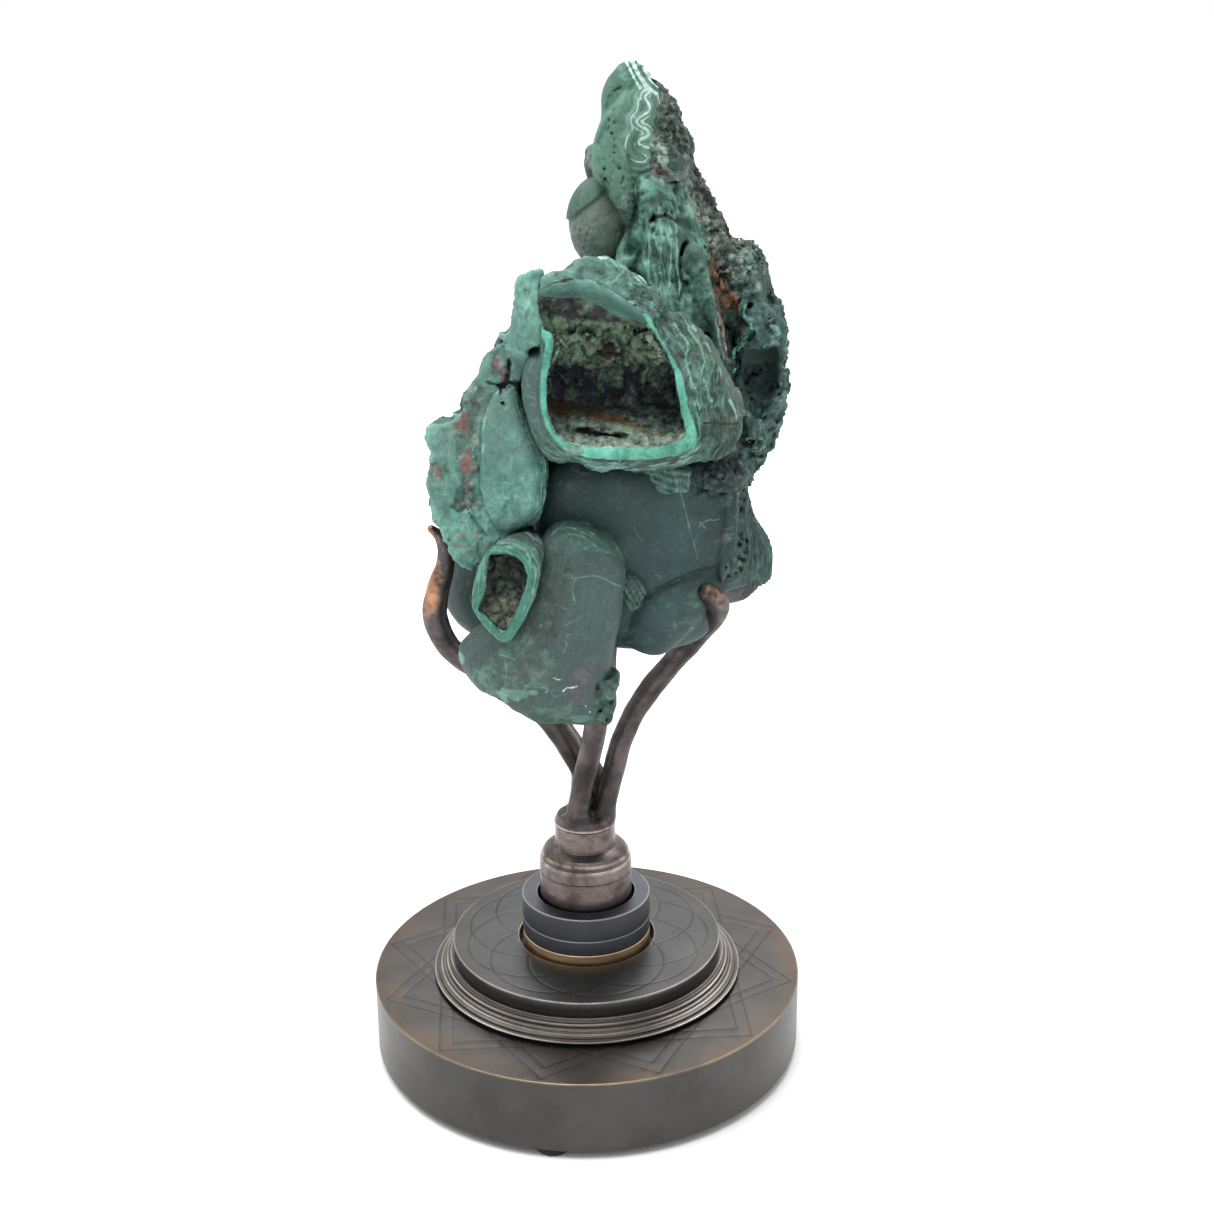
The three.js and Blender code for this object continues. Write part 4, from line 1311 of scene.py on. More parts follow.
def geode_body(p):
    """The geode: a tube with a rippled skin and a broken face, hollowed out over a level bed."""
    x, y, z = p.T
    side = TUBE.away(p) + 1.1 * rough(p, 6, 8, 4, 0.62)
    side = side + 0.4 * waves(y + 2.0 * rough(p, 9, 9), 2.6) * rise(250, 236, z)
    bend = 5.5 - 3.5 * rise(-2, 8, x) * rise(240, 232, z) - 2.5 * rise(270, 276, z)
    whole = both(both(side, geode_face(p), bend), y - 4, 4)
    lip = HOLE.away(p) + 0.45 * rough(p, 3, 12)
    bed = 229.8 + 0.12 * (y + 46.5) + 1.0 * rough(p, 12, 43)
    hollow = both(both(lip - 1.0 * rise(-45.8, -42, y), y + 6, 6), bed - z, 1.5)
    return both(whole, -hollow, 0.5)


def geode_inside(p):
    """1 on the walls of the hollow, 0 on the stone outside it."""
    return rise(3.0, 2.2, HOLE.away(p)) * rise(-0.7, -1.5, geode_face(p))


def over_lip(p):
    """The height at which a point of the hollow is seen, over its lip."""
    return p[:, 2] + 0.2 * (p[:, 1] + 46.5)


def druse_lumps(p):
    """Cauliflower druse: lumps about 5 mm across, each set with smaller ones."""
    warp = warped(p, 3.0, 5, (13, 31, 32))
    return domes(warp, 5.2, 1), domes(warp, 2.1, 2)


def floor_slot(p):
    """1 in the ragged dark slot across the front of the hollow's floor."""
    x, y, z = p.T
    away = np.abs(over_lip(p) - 234.3 + 0.10 * (x - 6) + 1.9 * rough(p, 3, 34))
    return rise(1.3, 0.5, away) * rise(-3, 0, x) * rise(17, 14, x) * rise(-18, -24, y)


def plum_share(p):
    """1 on the smoother purple-brown druse high up in the hollow."""
    low = over_lip(p) - 271.3 + 0.12 * (p[:, 0] + 8)
    return rise(-0.8, 0.8, low + 1.5 * rough(p, 5, 30))


def teal_share(p):
    """1 on the blue-green band that crosses the hollow under its upper lip."""
    x, y, z = p.T
    seen = np.stack([x, y, over_lip(p)], axis=1)
    half = 1.6 + 1.0 * rise(-4, 8, x) - 2.0 * rise(12, 22, x) + 0.4 * rough(p, 4, 19)
    route = [(-12, 278.2), (-4, 278.8), (1, 279.2), (8, 277.2), (12, 274.7), (17, 272.3),
             (22.5, 268.6)]
    return rise(0.4, -0.4, line_away(seen, route) - half)


def geode_relief(p):
    """Druse in the hollow, and chips, pits and growth lines outside it."""
    x, y, z = p.T
    inside = geode_inside(p)
    over = over_lip(p)
    big, small = druse_lumps(p)
    cauliflower = rise(242, 247, over) * (1 - 0.3 * plum_share(p))
    lumps = (3.6 * big + 2.0 * small - 3.3 + 1.5 * rough(p, 3, 54)) * cauliflower
    grit = (1.3 * domes(p, 2.0, 3) + 0.6 * rough(p, 2.6, 44)) * rise(244, 240, over)
    ledge = 2.2 * rise(266.8, 265.2, over + 1.2 * rough(p, 6, 30)) * rise(252, 260, over)
    druse = lumps + grit + ledge + 1.1 * rough(p, 9, 4) + 0.5 * rough(p, 3, 33)
    druse = druse - 2.4 * floor_slot(p)
    druse = druse * (0.3 + 0.7 * rise(-44.5, -40, y))
    lines = geode_lines(p)
    right = rise(0, 22, x) * rise(228, 236, z)
    chips = rise(0.15, 0.3, rough(p, 5.5, 17)) * 0.9
    holes = rise(0.9, 0.4, grains(p, 3.6, 35)[0]) * 0.9
    outside = (0.5 * lines * right + 0.9 * rough(p, 7, 6, 4, 0.62) + 0.45 * rough(p, 2.0, 7)
               - (chips + holes) * (0.3 + 0.7 * right))
    calm = rise(4.4, 3.4, HOLE.away(p)) * rise(270, 262, z)
    left_skin = rise(-8, -12, x) * rise(262, 256, z)
    smooth = np.maximum(np.maximum(calm, left_skin), facet_share(p))
    druse = druse * (1 - 0.7 * teal_share(p))
    return inside * druse + (1 - inside) * outside * (1 - 0.88 * smooth)


def geode_paint(p):
    x, y, z = p.T
    lip = HOLE.away(p)
    face = geode_face(p)
    inside = rise(2.6, 1.8, lip) * rise(-0.5, -1.1, face) * rise(-0.2, -0.7, TUBE.away(p))
    front = rise(-3.0, -0.8, face) * (1 - inside)
    over = over_lip(p)
    low = rise(272.5, 268, z)
    width = 2.3 + 1.2 * rise(236, 229, z) * rise(-4, 6, x)
    width = width - 1.3 * rise(246, 262, z) * rise(12, 18, x)
    width = width + 0.9 * rise(243, 236, z) * rise(27, 30, x)
    width = width - 0.9 * rise(246, 236, z) * rise(0, -5, x) * rise(229, 233, z)
    rim = front * rise(width + 0.25, width - 0.25, lip + 0.35 * rough(p, 3, 18)) * low
    rim = rim * rise(-11.5, -10, x + 3 * rise(252, 262, z))
    rim = rim * (1 - 0.85 * patches(p, [(-1.0, 230.2, 2.6, 2.0)], 0.6, 2, 70))
    rim = rim * (0.7 + 0.3 * rise(0.3, -0.1, rough(p, 6, 36)))
    second = front * near(lip, 4.5, 0.8) * rise(20, 25, x) * rise(226, 231, z) * rise(264, 256, z)
    gap = front * near(lip, width + 0.6, 0.5) * rise(-0.3, 0.3, rough(p, 7, 37)) * low
    lines = geode_lines(p)
    across, along = geode_layers(p)
    big, small = druse_lumps(p)
    facet = facet_share(p) * front
    strip = rise(-8.5, -11.5, x) * rise(262, 257, z) * (1 - rim)
    ledges = rise(232, 228, z) * front * rise(width, width + 0.4, lip)
    # the middle of the hollow, painted darker as shade
    shaded_middle = inside * rise(260, 252.5, over) * rise(241, 245, over) * (0.8 + 0.2 * rise(20, 0, x))
    seen = np.stack([x, y, over], axis=1)
    gritty = p * np.array([1, 0.22, 1], np.float32)
    teal, plum = inside * teal_share(p), inside * plum_share(p)
    top = height_on(TAWNY_TOP, x)
    tawny = inside * rise(1.2, -1.2, over - top + 0.8 * rough(p, 5, 38))
    tawny = tawny * rise(-3.2, 2.0, over - top + 5.6 - 0.08 * (x + 7) + 0.9 * rough(p, 4, 49))
    shade = inside * rise(0, 2, over - top) * rise(246, 242.5, over)
    grit = inside * rise(242, 239, over)
    # the floor's slot, painted near-black as shade in its recess
    slot = floor_slot(p) * inside
    lumpy = inside * rise(241, 245, over)
    # the druse lumps: lighter on their tops as painted light, darker in the creases between them as
    # painted shade
    crumbly = 0.5 * big + 0.5 * small + 0.5 * rough(p, 3, 54)
    creases = lumpy * (1 - 0.5 * plum) * (1 - teal) * rise(0.48, 0.2, crumbly)
    pepper = grit * rise(0.62, 0.34, grains(gritty, 1.5, 50)[0])
    pepper = pepper * rise(-0.3, 0.1, rough(gritty, 3, 51))
    # the hollow's walls just behind its lip, painted darker as shade
    shaded_behind_lip = inside * rise(-28, -39, y) * rise(240, 245, over) * (1 - teal_share(p))
    line_in = (lumpy * (1.7 * crumbly - 0.15 + 0.3 * rise(256, 262, over)) * (1 - 0.55 * shaded_middle)
               * (1 - 0.35 * plum) + 0.5 * plum
               + grit * (0.24 - 0.16 * rise(12, 24, x) + 1.2 * rough(gritty, 1.5, 45, 4, 0.7))
               - 0.5 * shaded_middle + 0.3 * tawny - 0.1 * shade - 0.4 * shaded_behind_lip)
    line_out = (0.2 + 0.4 * lines + 0.3 * rise(270, 280, z) + 0.5 * rough(p, 9, 39)
                - 0.4 * gap - 0.28 * rise(12, 24, x) + 0.35 * strip
                + rim * (0.35 + 1.1 * rough(p, 4.5, 52)))
    milky = np.minimum(line_away(p, MILKY_EDGE[0]), line_away(p, MILKY_EDGE[1]) + 0.2)
    milky = close(milky + 0.5 * rise(-0.1, 0.3, rough(p, 4, 20))) * (1 - inside) * rise(-34, -38, y)
    nested = close(np.abs(line_away(p, OUTER_SHEET[:4]) - 0.9 + 0.4 * rough(p, 5, 40))
                   + 2 * rise(267, 272, z))
    flows = nearest_line(warped(p, 1.3, 4, (55, None, 56)), FLOW_LINES) + 0.05
    flows = np.minimum(flows, line_away(p, SHELL_EDGE))
    return {
        "fresh": np.clip(front * 0.9 * (1 - 0.6 * facet) * (1 - strip) + teal * 0.9
                         + 0.5 * rise(6, 16, x) * (1 - inside) * rise(-3, -20, y), 0, 1),
        "rim": np.maximum(np.maximum(rim, 0.66 * second),
                          0.8 * front * patches(p, BRIGHT_DOTS, 0.3, 2)),
        "druse": inside, "teal": teal,
        "plum": plum * (0.62 + 0.3 * rough(p, 5, 53))
        + 0.4 * front * rise(14, 22, x) * rise(-0.15, 0.3, rough(p, 8, 57)),
        "rust": tawny * (0.74 - 0.3 * rise(6, 26, x) + 0.2 * rough(p, 5, 42)),
        "even": np.maximum(0.7 * tawny, 0.85 * grit),
        "crumb": inside * (1 - teal) * (0.6 * lumpy + 0.08 * grit) * (1 - 0.9 * shaded_middle)
        + 0.3 * teal + 0.12 * front,
        "line": np.where(inside > 0.5, line_in + teal * (
            0.2 + 0.4 * rise(5, 9, x) + 0.8 * rough(p, 2.5, 75)), line_out),
        "white": np.maximum(0.97 * milky, 0.87 * front * nested),
        "pale": front * (1 - inside) * close(flows + 0.25 * np.abs(rough(p, 5, 48))),
        "red": 0.62 * inside * patches(seen, [(9.4, 260, 3.0, 2.5), (3.4, 264.4, 1.3, 1.2)],
                                       0.7, 3),
        "lined": front * (1 - inside) * (1 - rim) * (0.2 + 0.2 * rise(-2, 12, x))
        * (1 - 0.8 * facet) + 0.8 * ledges,
        "across": across, "along": along * 0.13,
        "crack": close(np.abs(over_facet(p)) + 6 * rise(38, 36, x)) * front,
        "dark": np.clip(0.9 * slot + 0.6 * creases * (1 - 0.95 * shaded_middle)
                        + 0.06 * shade + 0.7 * pepper + 0.8 * shaded_behind_lip
                        + 0.35 * gap * front + 0.28 * facet
                        + 0.2 * lumpy * rise(-0.1, -0.4, rough(p, 3.5, 46)) * (1 - shaded_middle), 0, 1),
    }


grow("geode", (-22, -52, 212), (60, 9, 293), 0.64, geode_body, geode_relief, geode_paint,
     fractured)

# ---------------------------------------------------------------- grown stone: the left plate

PLATE = Outline([
    (-17.1, 279.2), (-14.1, 280.2), (-9.0, 281.2), (-9.2, 278.8), (-10.6, 276.2), (-10.8, 268.4),
    (-9.1, 264), (-9.6, 259.2), (-12.6, 259.0), (-13.2, 256), (-15.7, 250.7), (-17.9, 247.8),
    (-17.3, 244.1), (-15.3, 237.4), (-13.2, 232.9), (-11.8, 228.4), (-9.4, 221.5), (-9.8, 217),
    (-10.3, 211.7), (-11.5, 207), (-13.9, 203.2), (-19.2, 200.9), (-24.5, 197),
    (-27.6, 194.7), (-31.5, 191.2), (-34.6, 189.3), (-38.2, 191.3), (-41.1, 196.4),
    (-43.1, 202.6), (-45.5, 206.5), (-46.4, 211.9), (-46.9, 218.1), (-45.6, 223.4),
    (-45.7, 227.9), (-46.4, 231.7), (-45.4, 235.4), (-43.2, 236.5), (-38.4, 237.2),
    (-37.2, 239.5), (-35, 239.8), (-35.2, 242.8), (-32.5, 247.2), (-29.4, 252.3),
    (-27.8, 256.7), (-24.9, 259.6), (-23.3, 263.5), (-20.4, 264.6), (-18.4, 270.3)], -38, 0.3)
LEAF = Outline([
    (-22, 247.1), (-18.7, 245.3), (-16.4, 240.0), (-14.2, 234.0), (-11.6, 227.0), (-10.6, 220.5),
    (-11.4, 211), (-14, 205.4), (-19.2, 202.4), (-24.2, 203.0), (-28.4, 209.7), (-29.8, 217.9),
    (-29.2, 225.5), (-28.6, 234.5), (-26.1, 243.4)], -38, 0.3)
GREY_SPOTS = [(-30.5, 243, 4.8, 5.5), (-33.5, 228, 3.0, 12), (-34.5, 213, 4.6, 3.5),
              (-22.5, 254, 2.4, 4.5), (-43, 220.5, 2.4, 3.6)]
RED_SPOTS = [(-21.9, 251, 0.9, 2.6), (-24.3, 254.5, 1.0, 1.6), (-34.2, 236.3, 1.4, 2.6),
             (-36.4, 235.3, 1.7, 0.9), (-33.4, 226.5, 1.0, 2.2), (-34.0, 222.6, 1.7, 3.0),
             (-43.0, 220.6, 1.2, 2.0), (-34.7, 216.6, 0.45, 3.0)]
PLATE_HOLES = [(-22.6, 247.4, 1.7, 0.9), (-22.9, 246.6, 0.5, 1.5), (-20.3, 253.6, 0.6, 2.2),
               (-23.4, 261, 2.3, 0.7), (-22.3, 242.4, 0.6, 0.5), (-20.9, 249.4, 0.6, 1.4),
               (-19.6, 248.2, 1.3, 0.5), (-12.9, 258, 1.2, 1.6)]
LEAF_NICKS = ([(-20.4, 227), (-20.4, 226.6)], [(-20.4, 223.4), (-20.3, 222.6)],
              [(-19.8, 220), (-19.8, 219.8)])
PLATE_CRACKS = ([(-27, 248.6), (-23.3, 247.4), (-21.4, 248.2), (-17, 247.6)],
                [(-21.6, 248.4), (-20.4, 251.5), (-20.2, 255)],
                [(-23.6, 260.2), (-21.4, 259.6)],
                [(-39.1, 210.2), (-37, 208.5), (-34.7, 209.8), (-31.6, 204.6), (-29, 200.6)])


def plate_cracks(p):
    """Distance to the plate's ragged cracks."""
    away = nearest_line(p, PLATE_CRACKS)
    return away + 0.9 * np.abs(rough(p, 2.6, 29)) + 0.5 * rough(p, 6, 47)


def leaf_away(p):
    """Distance to the plate's raised right leaf."""
    return LEAF.away(p) + 0.5 * rough(p, 6, 22)


def plate_face(p):
    """How far each point is in front of the plate's flat face, whose right leaf stands proud."""
    x, y, z = p.T
    leaf = leaf_away(p)
    face = -37.4 - 1.2 * rise(0.5, -0.5, leaf) + 0.06 * np.clip(-32 - x, 0, 20)
    right = rise(-24, -16, x) * rise(246, 238, z)
    for step in (-0.8, -1.7, -2.6):
        face = face + 0.7 * right * rise(step - 0.1, step + 0.15, leaf + 0.3 * rough(p, 3, 21))
    face = face - 8.0 * rise(-25, -12, x) * rise(252, 263, z)
    dip = patches(p, GREY_SPOTS, 0.6, 4, 23)
    return face + 0.7 * dip - y


def plate_body(p):
    """The plate: a ragged slab with rippled sides, cut back where the hollow is."""
    x, y, z = p.T
    ragged = rise(-4, -30, x)
    side = PLATE.away(p) + (0.45 + 1.0 * ragged) * rough(p, 4.5, 24, 4, 0.62)
    side = side + 0.3 * waves(y + 1.6 * rough(p, 8, 21), 2.1)
    whole = both(both(side, plate_face(p), 1.3 + 0.8 * ragged), y + 8, 3)
    return both(whole, -both(cave(p, 1.5), -41 - y, 0.5), 0.5)


def plate_flakes(p):
    """Over 0 where a thin flake has come away from the plate's face; about mm from its edge."""
    return 8 * (rough(warped(p, 1.5, 3, (57, 58, 59)), 8, 60, 3, 0.6) - 0.09)


def plate_relief(p):
    x, y, z = p.T
    lower = rise(212, 200, z)
    flat = 0.7 * rough(p, 8, 25, 4, 0.62) + 0.45 * rough(p, 1.8, 26, 2) - 0.5 * rise(
        -0.3, 0.4, plate_flakes(p))
    pit = rise(0.9, 0.3, grains(p, 4.4, 27)[0]) * rise(0.0, 0.3, rough(p, 14, 28))
    leaf = rise(0.5, -1.5, leaf_away(p))
    crack = rise(0.9, 0.25, plate_cracks(p)) * rise(-33, -35, y)
    holes = patches(p, PLATE_HOLES, 0.9, 1.2, 62) * rise(-33, -35, y)
    return (flat * (1 + 0.9 * lower) * (1 - 0.45 * leaf) - 1.0 * pit - 1.8 * crack
            - 1.8 * holes)


def plate_paint(p):
    x, y, z = p.T
    front = rise(-3.2, -1.2, plate_face(p))
    leaf = leaf_away(p)
    edge = rise(-3.4, -0.6, leaf) * rise(-26, -16, x) * rise(246, 240, z)
    layers = waves(leaf + 0.4 * rough(p, 4, 32), 1.0)
    lower = rise(214, 204, z) * rise(-16, -26, x + 0.5 * (z - 200))
    bruise = rise(0.22, 0.42, rough(p, 5, 43)) * lower
    bright = rise(0.1, 0.35, rough(p, 6, 44))
    ring = near(leaf, 0.6, 0.6) * rise(-20, -25, x)
    rim = np.abs(leaf + 0.2) + 0.7 * rise(-0.1, 0.2, rough(p, 4, 61))
    rim = rim + 2 * rise(-25, -22, x) * rise(230, 227, z) + 2 * rise(214, 210, z)
    shaded_gaps = patches(p, PLATE_HOLES, 0.9, 1.2, 62) * rise(-33, -35, y)
    flakes = plate_flakes(p)
    left = rise(-34, -39, x) * rise(212, 216, z)
    dots = grains(p, 4.4, 27)[0]
    grey = patches(p, GREY_SPOTS, 0.7, 4, 31)
    return {"fresh": np.clip(front * (1 - 0.3 * edge * layers) - 0.25 * edge + 0.35 * (1 - front)
                             * rise(0, 0.6, layers), 0, 1),
            "red": (0.85 * patches(p, RED_SPOTS, 0.8, 2.0, 30) + 0.42 * bruise) * front,
            "crust": (0.54 * grey + 0.3 * bruise) * front,
            "crumb": (0.4 - 0.24 * rise(0.5, -0.5, leaf)) * front + 0.2 * grey,
            # lighter along the plate's outline: a painted highlight on its rounded edge
            "line": 0.25 + 0.6 * rough(p, 8, 33, 4, 0.7) + 0.45 * bright - 0.5 * edge
            - 0.3 * grey + 0.45 * near(PLATE.away(p), -0.2, 1.3) * front
            + 0.4 * rise(-0.3, 0.4, flakes) - 0.35 * ring + 0.3 * rise(250, 262, z) + 0.3 * left
            + 0.3 * lower,
            "pale": front * np.maximum(0.97 * close(rim), 0.92 * close(
                np.abs(flakes) + 0.6 * rise(0.3, -0.1, rough(p, 7, 76)))),
            # near-black in the holes and pits: painted shade
            "dark": np.clip(0.3 * edge * rise(0, 0.8, layers) + 0.3 * ring + 0.95 * shaded_gaps
                            + 0.5 * rise(0.8, 0.4, dots) * rise(0.0, 0.3, rough(p, 14, 28)),
                            0, 1),
            "crack": front * close(plate_cracks(p) - 0.1), "lined": 0.9 * edge,
            "across": leaf, "along": 0.13 * (x - z),
            "white": close(nearest_line(p, LEAF_NICKS) + 0.25)}


grow("plate", (-54, -50, 182), (-3, -4, 288), 0.6, plate_body, plate_relief, plate_paint,
     mint_face)

# ---------------------------------------------------------------- grown stone: the smooth bulk

BULK = Outline([[-10, 219], [20, 221], [50, 214], [56, 200], [58, 184], [48, 167], [38, 158.5],
                [27, 155.5], [15, 156], [4, 158], [-9, 162]])
LOWER_LOBE = Outline([
    (12, 160), (14.0, 170.3), (20, 176.7), (26.2, 179.8), (33.2, 183), (41.6, 184.6), (46, 180),
    (43.5, 173.3), (39.5, 168.2), (32.0, 160.8), (26.3, 156.4), (21.6, 156.0), (15.3, 158.2)],
    -28, 0.1)
LEDGE = Outline([(21.8, 219.5), (22.8, 216.4), (25.3, 213.2), (29.5, 212.8), (33.5, 213.2),
                 (34.4, 216.2), (34.9, 219.6)], -34)
NODULE = Outline([(14.0, 185.3), (18.4, 184.4), (20.9, 180.4), (19.2, 176.4), (16.8, 173.5),
                  (14.5, 175.6)], -32)
PILLAR = Outline([(45.4, 212), (49.8, 212), (50.6, 204.9), (49.6, 196.7), (48.0, 188.4),
                  (47.0, 182), (44.7, 182), (45.1, 193.6), (45.8, 203.9)], -25)
POROUS = Outline([(50.8, 211), (53.3, 211), (52.3, 201.3), (53.9, 193.0), (53.0, 187.8),
                  (50.6, 182), (46.7, 180.6), (45.8, 185.7), (48.8, 188.8), (50.2, 196.1)], -23)
BULGE_EDGE = [(44.8, 175.3), (47.9, 176.9), (53, 177.2), (57.6, 175.4), (60.6, 178.4),
              (62.2, 183.7), (62.3, 187.4)]
LOBE_CREASE = [(20.1, 176.5), (24.1, 179.1), (30.1, 181.7), (37, 184.2), (43, 185.7)]


def porous_away(p):
    """Distance to the porous column that widens down the right of the bulk."""
    return POROUS.away(p) + 0.4 * rough(p, 3, 64)


def under_bulge(p):
    """1 below the bulge's broken lower edge."""
    x, y, z = p.T
    below = height_on(BULGE_EDGE[:4], x) - z + 0.5 * rough(p, 4, 65)
    return rise(-0.3, 0.4, below) * rise(43, 46, x) * rise(4, 0, y)


def bulk_body(p):
    """The bulk: a broad smooth swelling, with its lower lobe, bulge, ledge, nodule and pillar."""
    x, y, z = p.T
    face = -27.0 + 0.03 * np.clip(x - 10, 0, 60)
    slope = 0.004 * np.clip(x - 25, 0, 40) ** 2
    fold = 1.2 * rise(-0.8, 0.8, (x - 33) + 0.25 * (z - 200) + 1.5 * rough(p, 12, 39))
    whole = both(both(BULK.away(p), face + slope + 0.35 * fold - y, 12), y - 30, 13)
    lobe = both(both(LOWER_LOBE.away(p), -29.5 + 0.012 * (x - 28) ** 2 - y, 7), y - 6, 6)
    whole = join(whole, lobe, 0.5)
    bulge = lump(p, (50, -3, 181), (13.5, 16, 16), 10)
    whole = join(whole, bulge, 2)
    behind = lump(p, (-28, 4, 172), (19, 18, 20), 8)
    whole = join(whole, behind, 2)
    ledge = both(both(LEDGE.away(p) + 0.5 * rough(p, 3, 41), -35 + 0.35 * (z - 212) - y, 0.8),
                 y + 20, 1)
    whole = join(whole, ledge, 0.4)
    whole = join(whole, both(both(NODULE.away(p), -32.5 - y, 2.5), y + 22, 1), 0.3)
    pillar = both(both(PILLAR.away(p) + 0.4 * rough(p, 4, 66), face + slope - 1.3 - y, 2.2),
                  y + 10, 3)
    whole = join(whole, pillar, 0.3)
    brow = lump(p, (43, -16, 216), (12, 14, 6.5), 15)
    return join(whole, brow, 1.0)


def bulk_parts(p):
    """1 on the bulk's ledge, on its nodule and on its brow."""
    x, y, z = p.T
    proud = rise(-27, -30, y)
    return (rise(0.8, -0.2, LEDGE.away(p)) * proud, rise(0.8, -0.4, NODULE.away(p)) * proud,
            rise(207, 212, z) * rise(34, 40, x) * rise(2, -8, y))


def bulk_layers(p):
    """The waves of the nodule's scales and the ledge's layers, and the way round the flank."""
    x, y, z = p.T
    return (waves(x + 0.6 * z + 1.2 * rough(p, 4, 48), 2.0),
            waves(z + 0.3 * x + 1.6 * rough(p, 4, 52), 2.4), x + 0.8 * y + 1.6 * rough(p, 9, 45))


def bulk_relief(p):
    x, y, z = p.T
    ledge, nodule, brow = bulk_parts(p)
    scales, layers, around = bulk_layers(p)
    away = porous_away(p)
    seam = rise(0.8, -0.3, away) * rise(-6, -12, y)
    holes = rise(0.95, 0.4, grains(p, 2.1, 42)[0])
    smooth = 0.9 * rough(p, 18, 43) + 0.12 * rough(p, 2.6, 44)
    right = rise(50, 55, x)
    wrap = 0.6 * waves(around, 2.8) * right
    back = rise(0, 16, y)
    knobbly = 2.2 * domes(p, 9, 46) - 1
    crumbs = brow * (2.6 * domes(p, 3.4, 49) - 1.2 + 0.8 * rough(p, 3, 72))
    bank = 0.7 * near(away, 0.5, 1.3) * rise(-6, -12, y)
    return (1 - seam) * ((1 - back) * (smooth + wrap) + back * knobbly + crumbs) + (
        -1.7 * seam * holes + 0.6 * scales * nodule + 0.35 * layers * ledge + bank
        - 2.6 * under_bulge(p)
        - 0.8 * near(line_away(p, LOBE_CREASE), 0, 0.9) * rise(-14, -20, y))


def bulk_paint(p):
    x, y, z = p.T
    seam = rise(1.0, -0.3, porous_away(p)) * rise(-6, -12, y)
    pores = grains(p, 2.1, 42)[0]
    right = rise(51, 56, x)
    lobe = rise(1.5, -1.5, LOWER_LOBE.away(p)) * rise(-10, -18, y)
    rim = np.abs(LOWER_LOBE.away(p) + 0.9 + 0.4 * rough(p, 3, 51)) + 0.4 + 3 * rise(
        30, 26, x) + 3 * rise(177, 180, z)
    rim = np.minimum(rim, line_away(p, BULGE_EDGE) - 0.1 + 0.3 * np.abs(rough(p, 3, 67)))
    crease = line_away(p, LOBE_CREASE)
    dashes = crease + 0.2 + 0.8 * rise(-0.1, 0.1, rough(p, 2, 53))
    pillar = rise(0.6, -0.4, PILLAR.away(p)) * rise(-14, -18, y)
    facing = rise(-16, -20, y)
    strokes = np.minimum(rim, dashes)
    ledge, nodule, brow = bulk_parts(p)
    scales, layers, around = bulk_layers(p)
    rub = patches(p, [(47, 208, 2.6, 2.0)], 0.9, 3, 47) * 0.5
    streak = rise(0.1, 0.5, rough(np.stack([0.5 * (x + z), y, 2.2 * (z - 0.4 * x)], axis=1)
                                  .astype(np.float32), 9, 55))
    return {"fresh": np.clip((0.40 + 0.06 * waves(around, 2.8)) * right + 0.7 * ledge
                             + 0.62 * nodule + 0.28 * lobe + rub + 0.4 * brow
                             + 0.26 * streak * (1 - right)
                             + 0.62 * seam, 0, 1),
            "crumb": np.clip(0.7 * seam + 0.6 * brow, 0, 1),
            "plum": np.clip(0.72 * under_bulge(p) + 0.36 * (1 - right) * (1 - lobe)
                            * rise(0.0, 0.35, rough(p, 12, 68)), 0, 1),
            "pale": close(strokes) * facing,
            "crust": np.clip(0.42 * brow + 0.36 * pillar, 0, 1),
            "line": 0.05 + 0.4 * rough(p, 3, 50) + 0.1 * pillar + 0.35 * scales * nodule
            + ledge * (0.35 + 0.3 * layers),
            "even": 0.7 * pillar,
            "lined": np.clip(0.3 * right + 0.6 * ledge, 0, 1),
            "across": around, "along": 0.12 * z,
            # near-black in the seam's pores, along the lobe's crease and between the brow's crumbs:
            # painted shade; darker along the top under the geode's overhang: painted shadow
            "dark": np.clip(0.9 * seam * rise(1.0, 0.45, pores) + 0.5 * rise(1.0, 0.2, crease)
                            + 0.3 * under_bulge(p) + 0.35 * near(PILLAR.away(p), 0.6, 0.7)
                            * facing + 0.7 * brow * rise(0.45, 0.15, domes(p, 3.4, 49))
                            + 0.25 * rise(214, 221, z) * (1 - ledge), 0, 1)}


grow("bulk", (-50, -42, 148), (70, 33, 226), 0.7, bulk_body, bulk_relief, bulk_paint, dark_skin)

# ---------------------------------------------------------------- grown stone: the front lobe

FRONT = Outline([
    (-10.7, 201), (-6.9, 204.8), (-1, 205.4), (4.9, 202.8), (10.1, 198.5), (13, 193.8),
    (14.1, 189.1), (13.3, 181.2), (12.9, 173.3), (10.5, 163.7), (8.9, 155.6), (8.9, 151.6),
    (8.5, 142.6), (6.6, 139.4), (1.1, 136.8), (-5.1, 137.4), (-12.9, 137.8), (-19, 140.6),
    (-25.6, 144.6), (-31.3, 147), (-36.4, 151), (-39.4, 156.8), (-39.6, 160.4),
    (-35.1, 165.6), (-29.6, 170.4), (-21.6, 178.6), (-15.2, 188.3)], -44, 0.1)
SMALL = Outline([
    (-26.8, 199.6), (-23, 202.6), (-17.1, 204.1), (-12.7, 202.5), (-10.9, 199.4),
    (-11.4, 194), (-12.3, 188.6), (-14.7, 181.6), (-17, 176.9), (-23.0, 169.4),
    (-24.9, 170.4), (-31.2, 177.8), (-32.9, 181.8), (-32.3, 188), (-30.6, 194.2)], -50, 0.2)
SMALL_HOLE = Outline([
    (-26.9, 198.2), (-26.2, 198.4), (-20.1, 197.9), (-17.0, 195.4), (-15.9, 190.5),
    (-17.9, 183.5), (-20.3, 178.1), (-23.6, 172.9), (-24.6, 173.2), (-27, 176.8), (-31.2, 180.9),
    (-31.0, 181.9), (-29.4, 184.4), (-28, 192.2)], -50, 0.2)
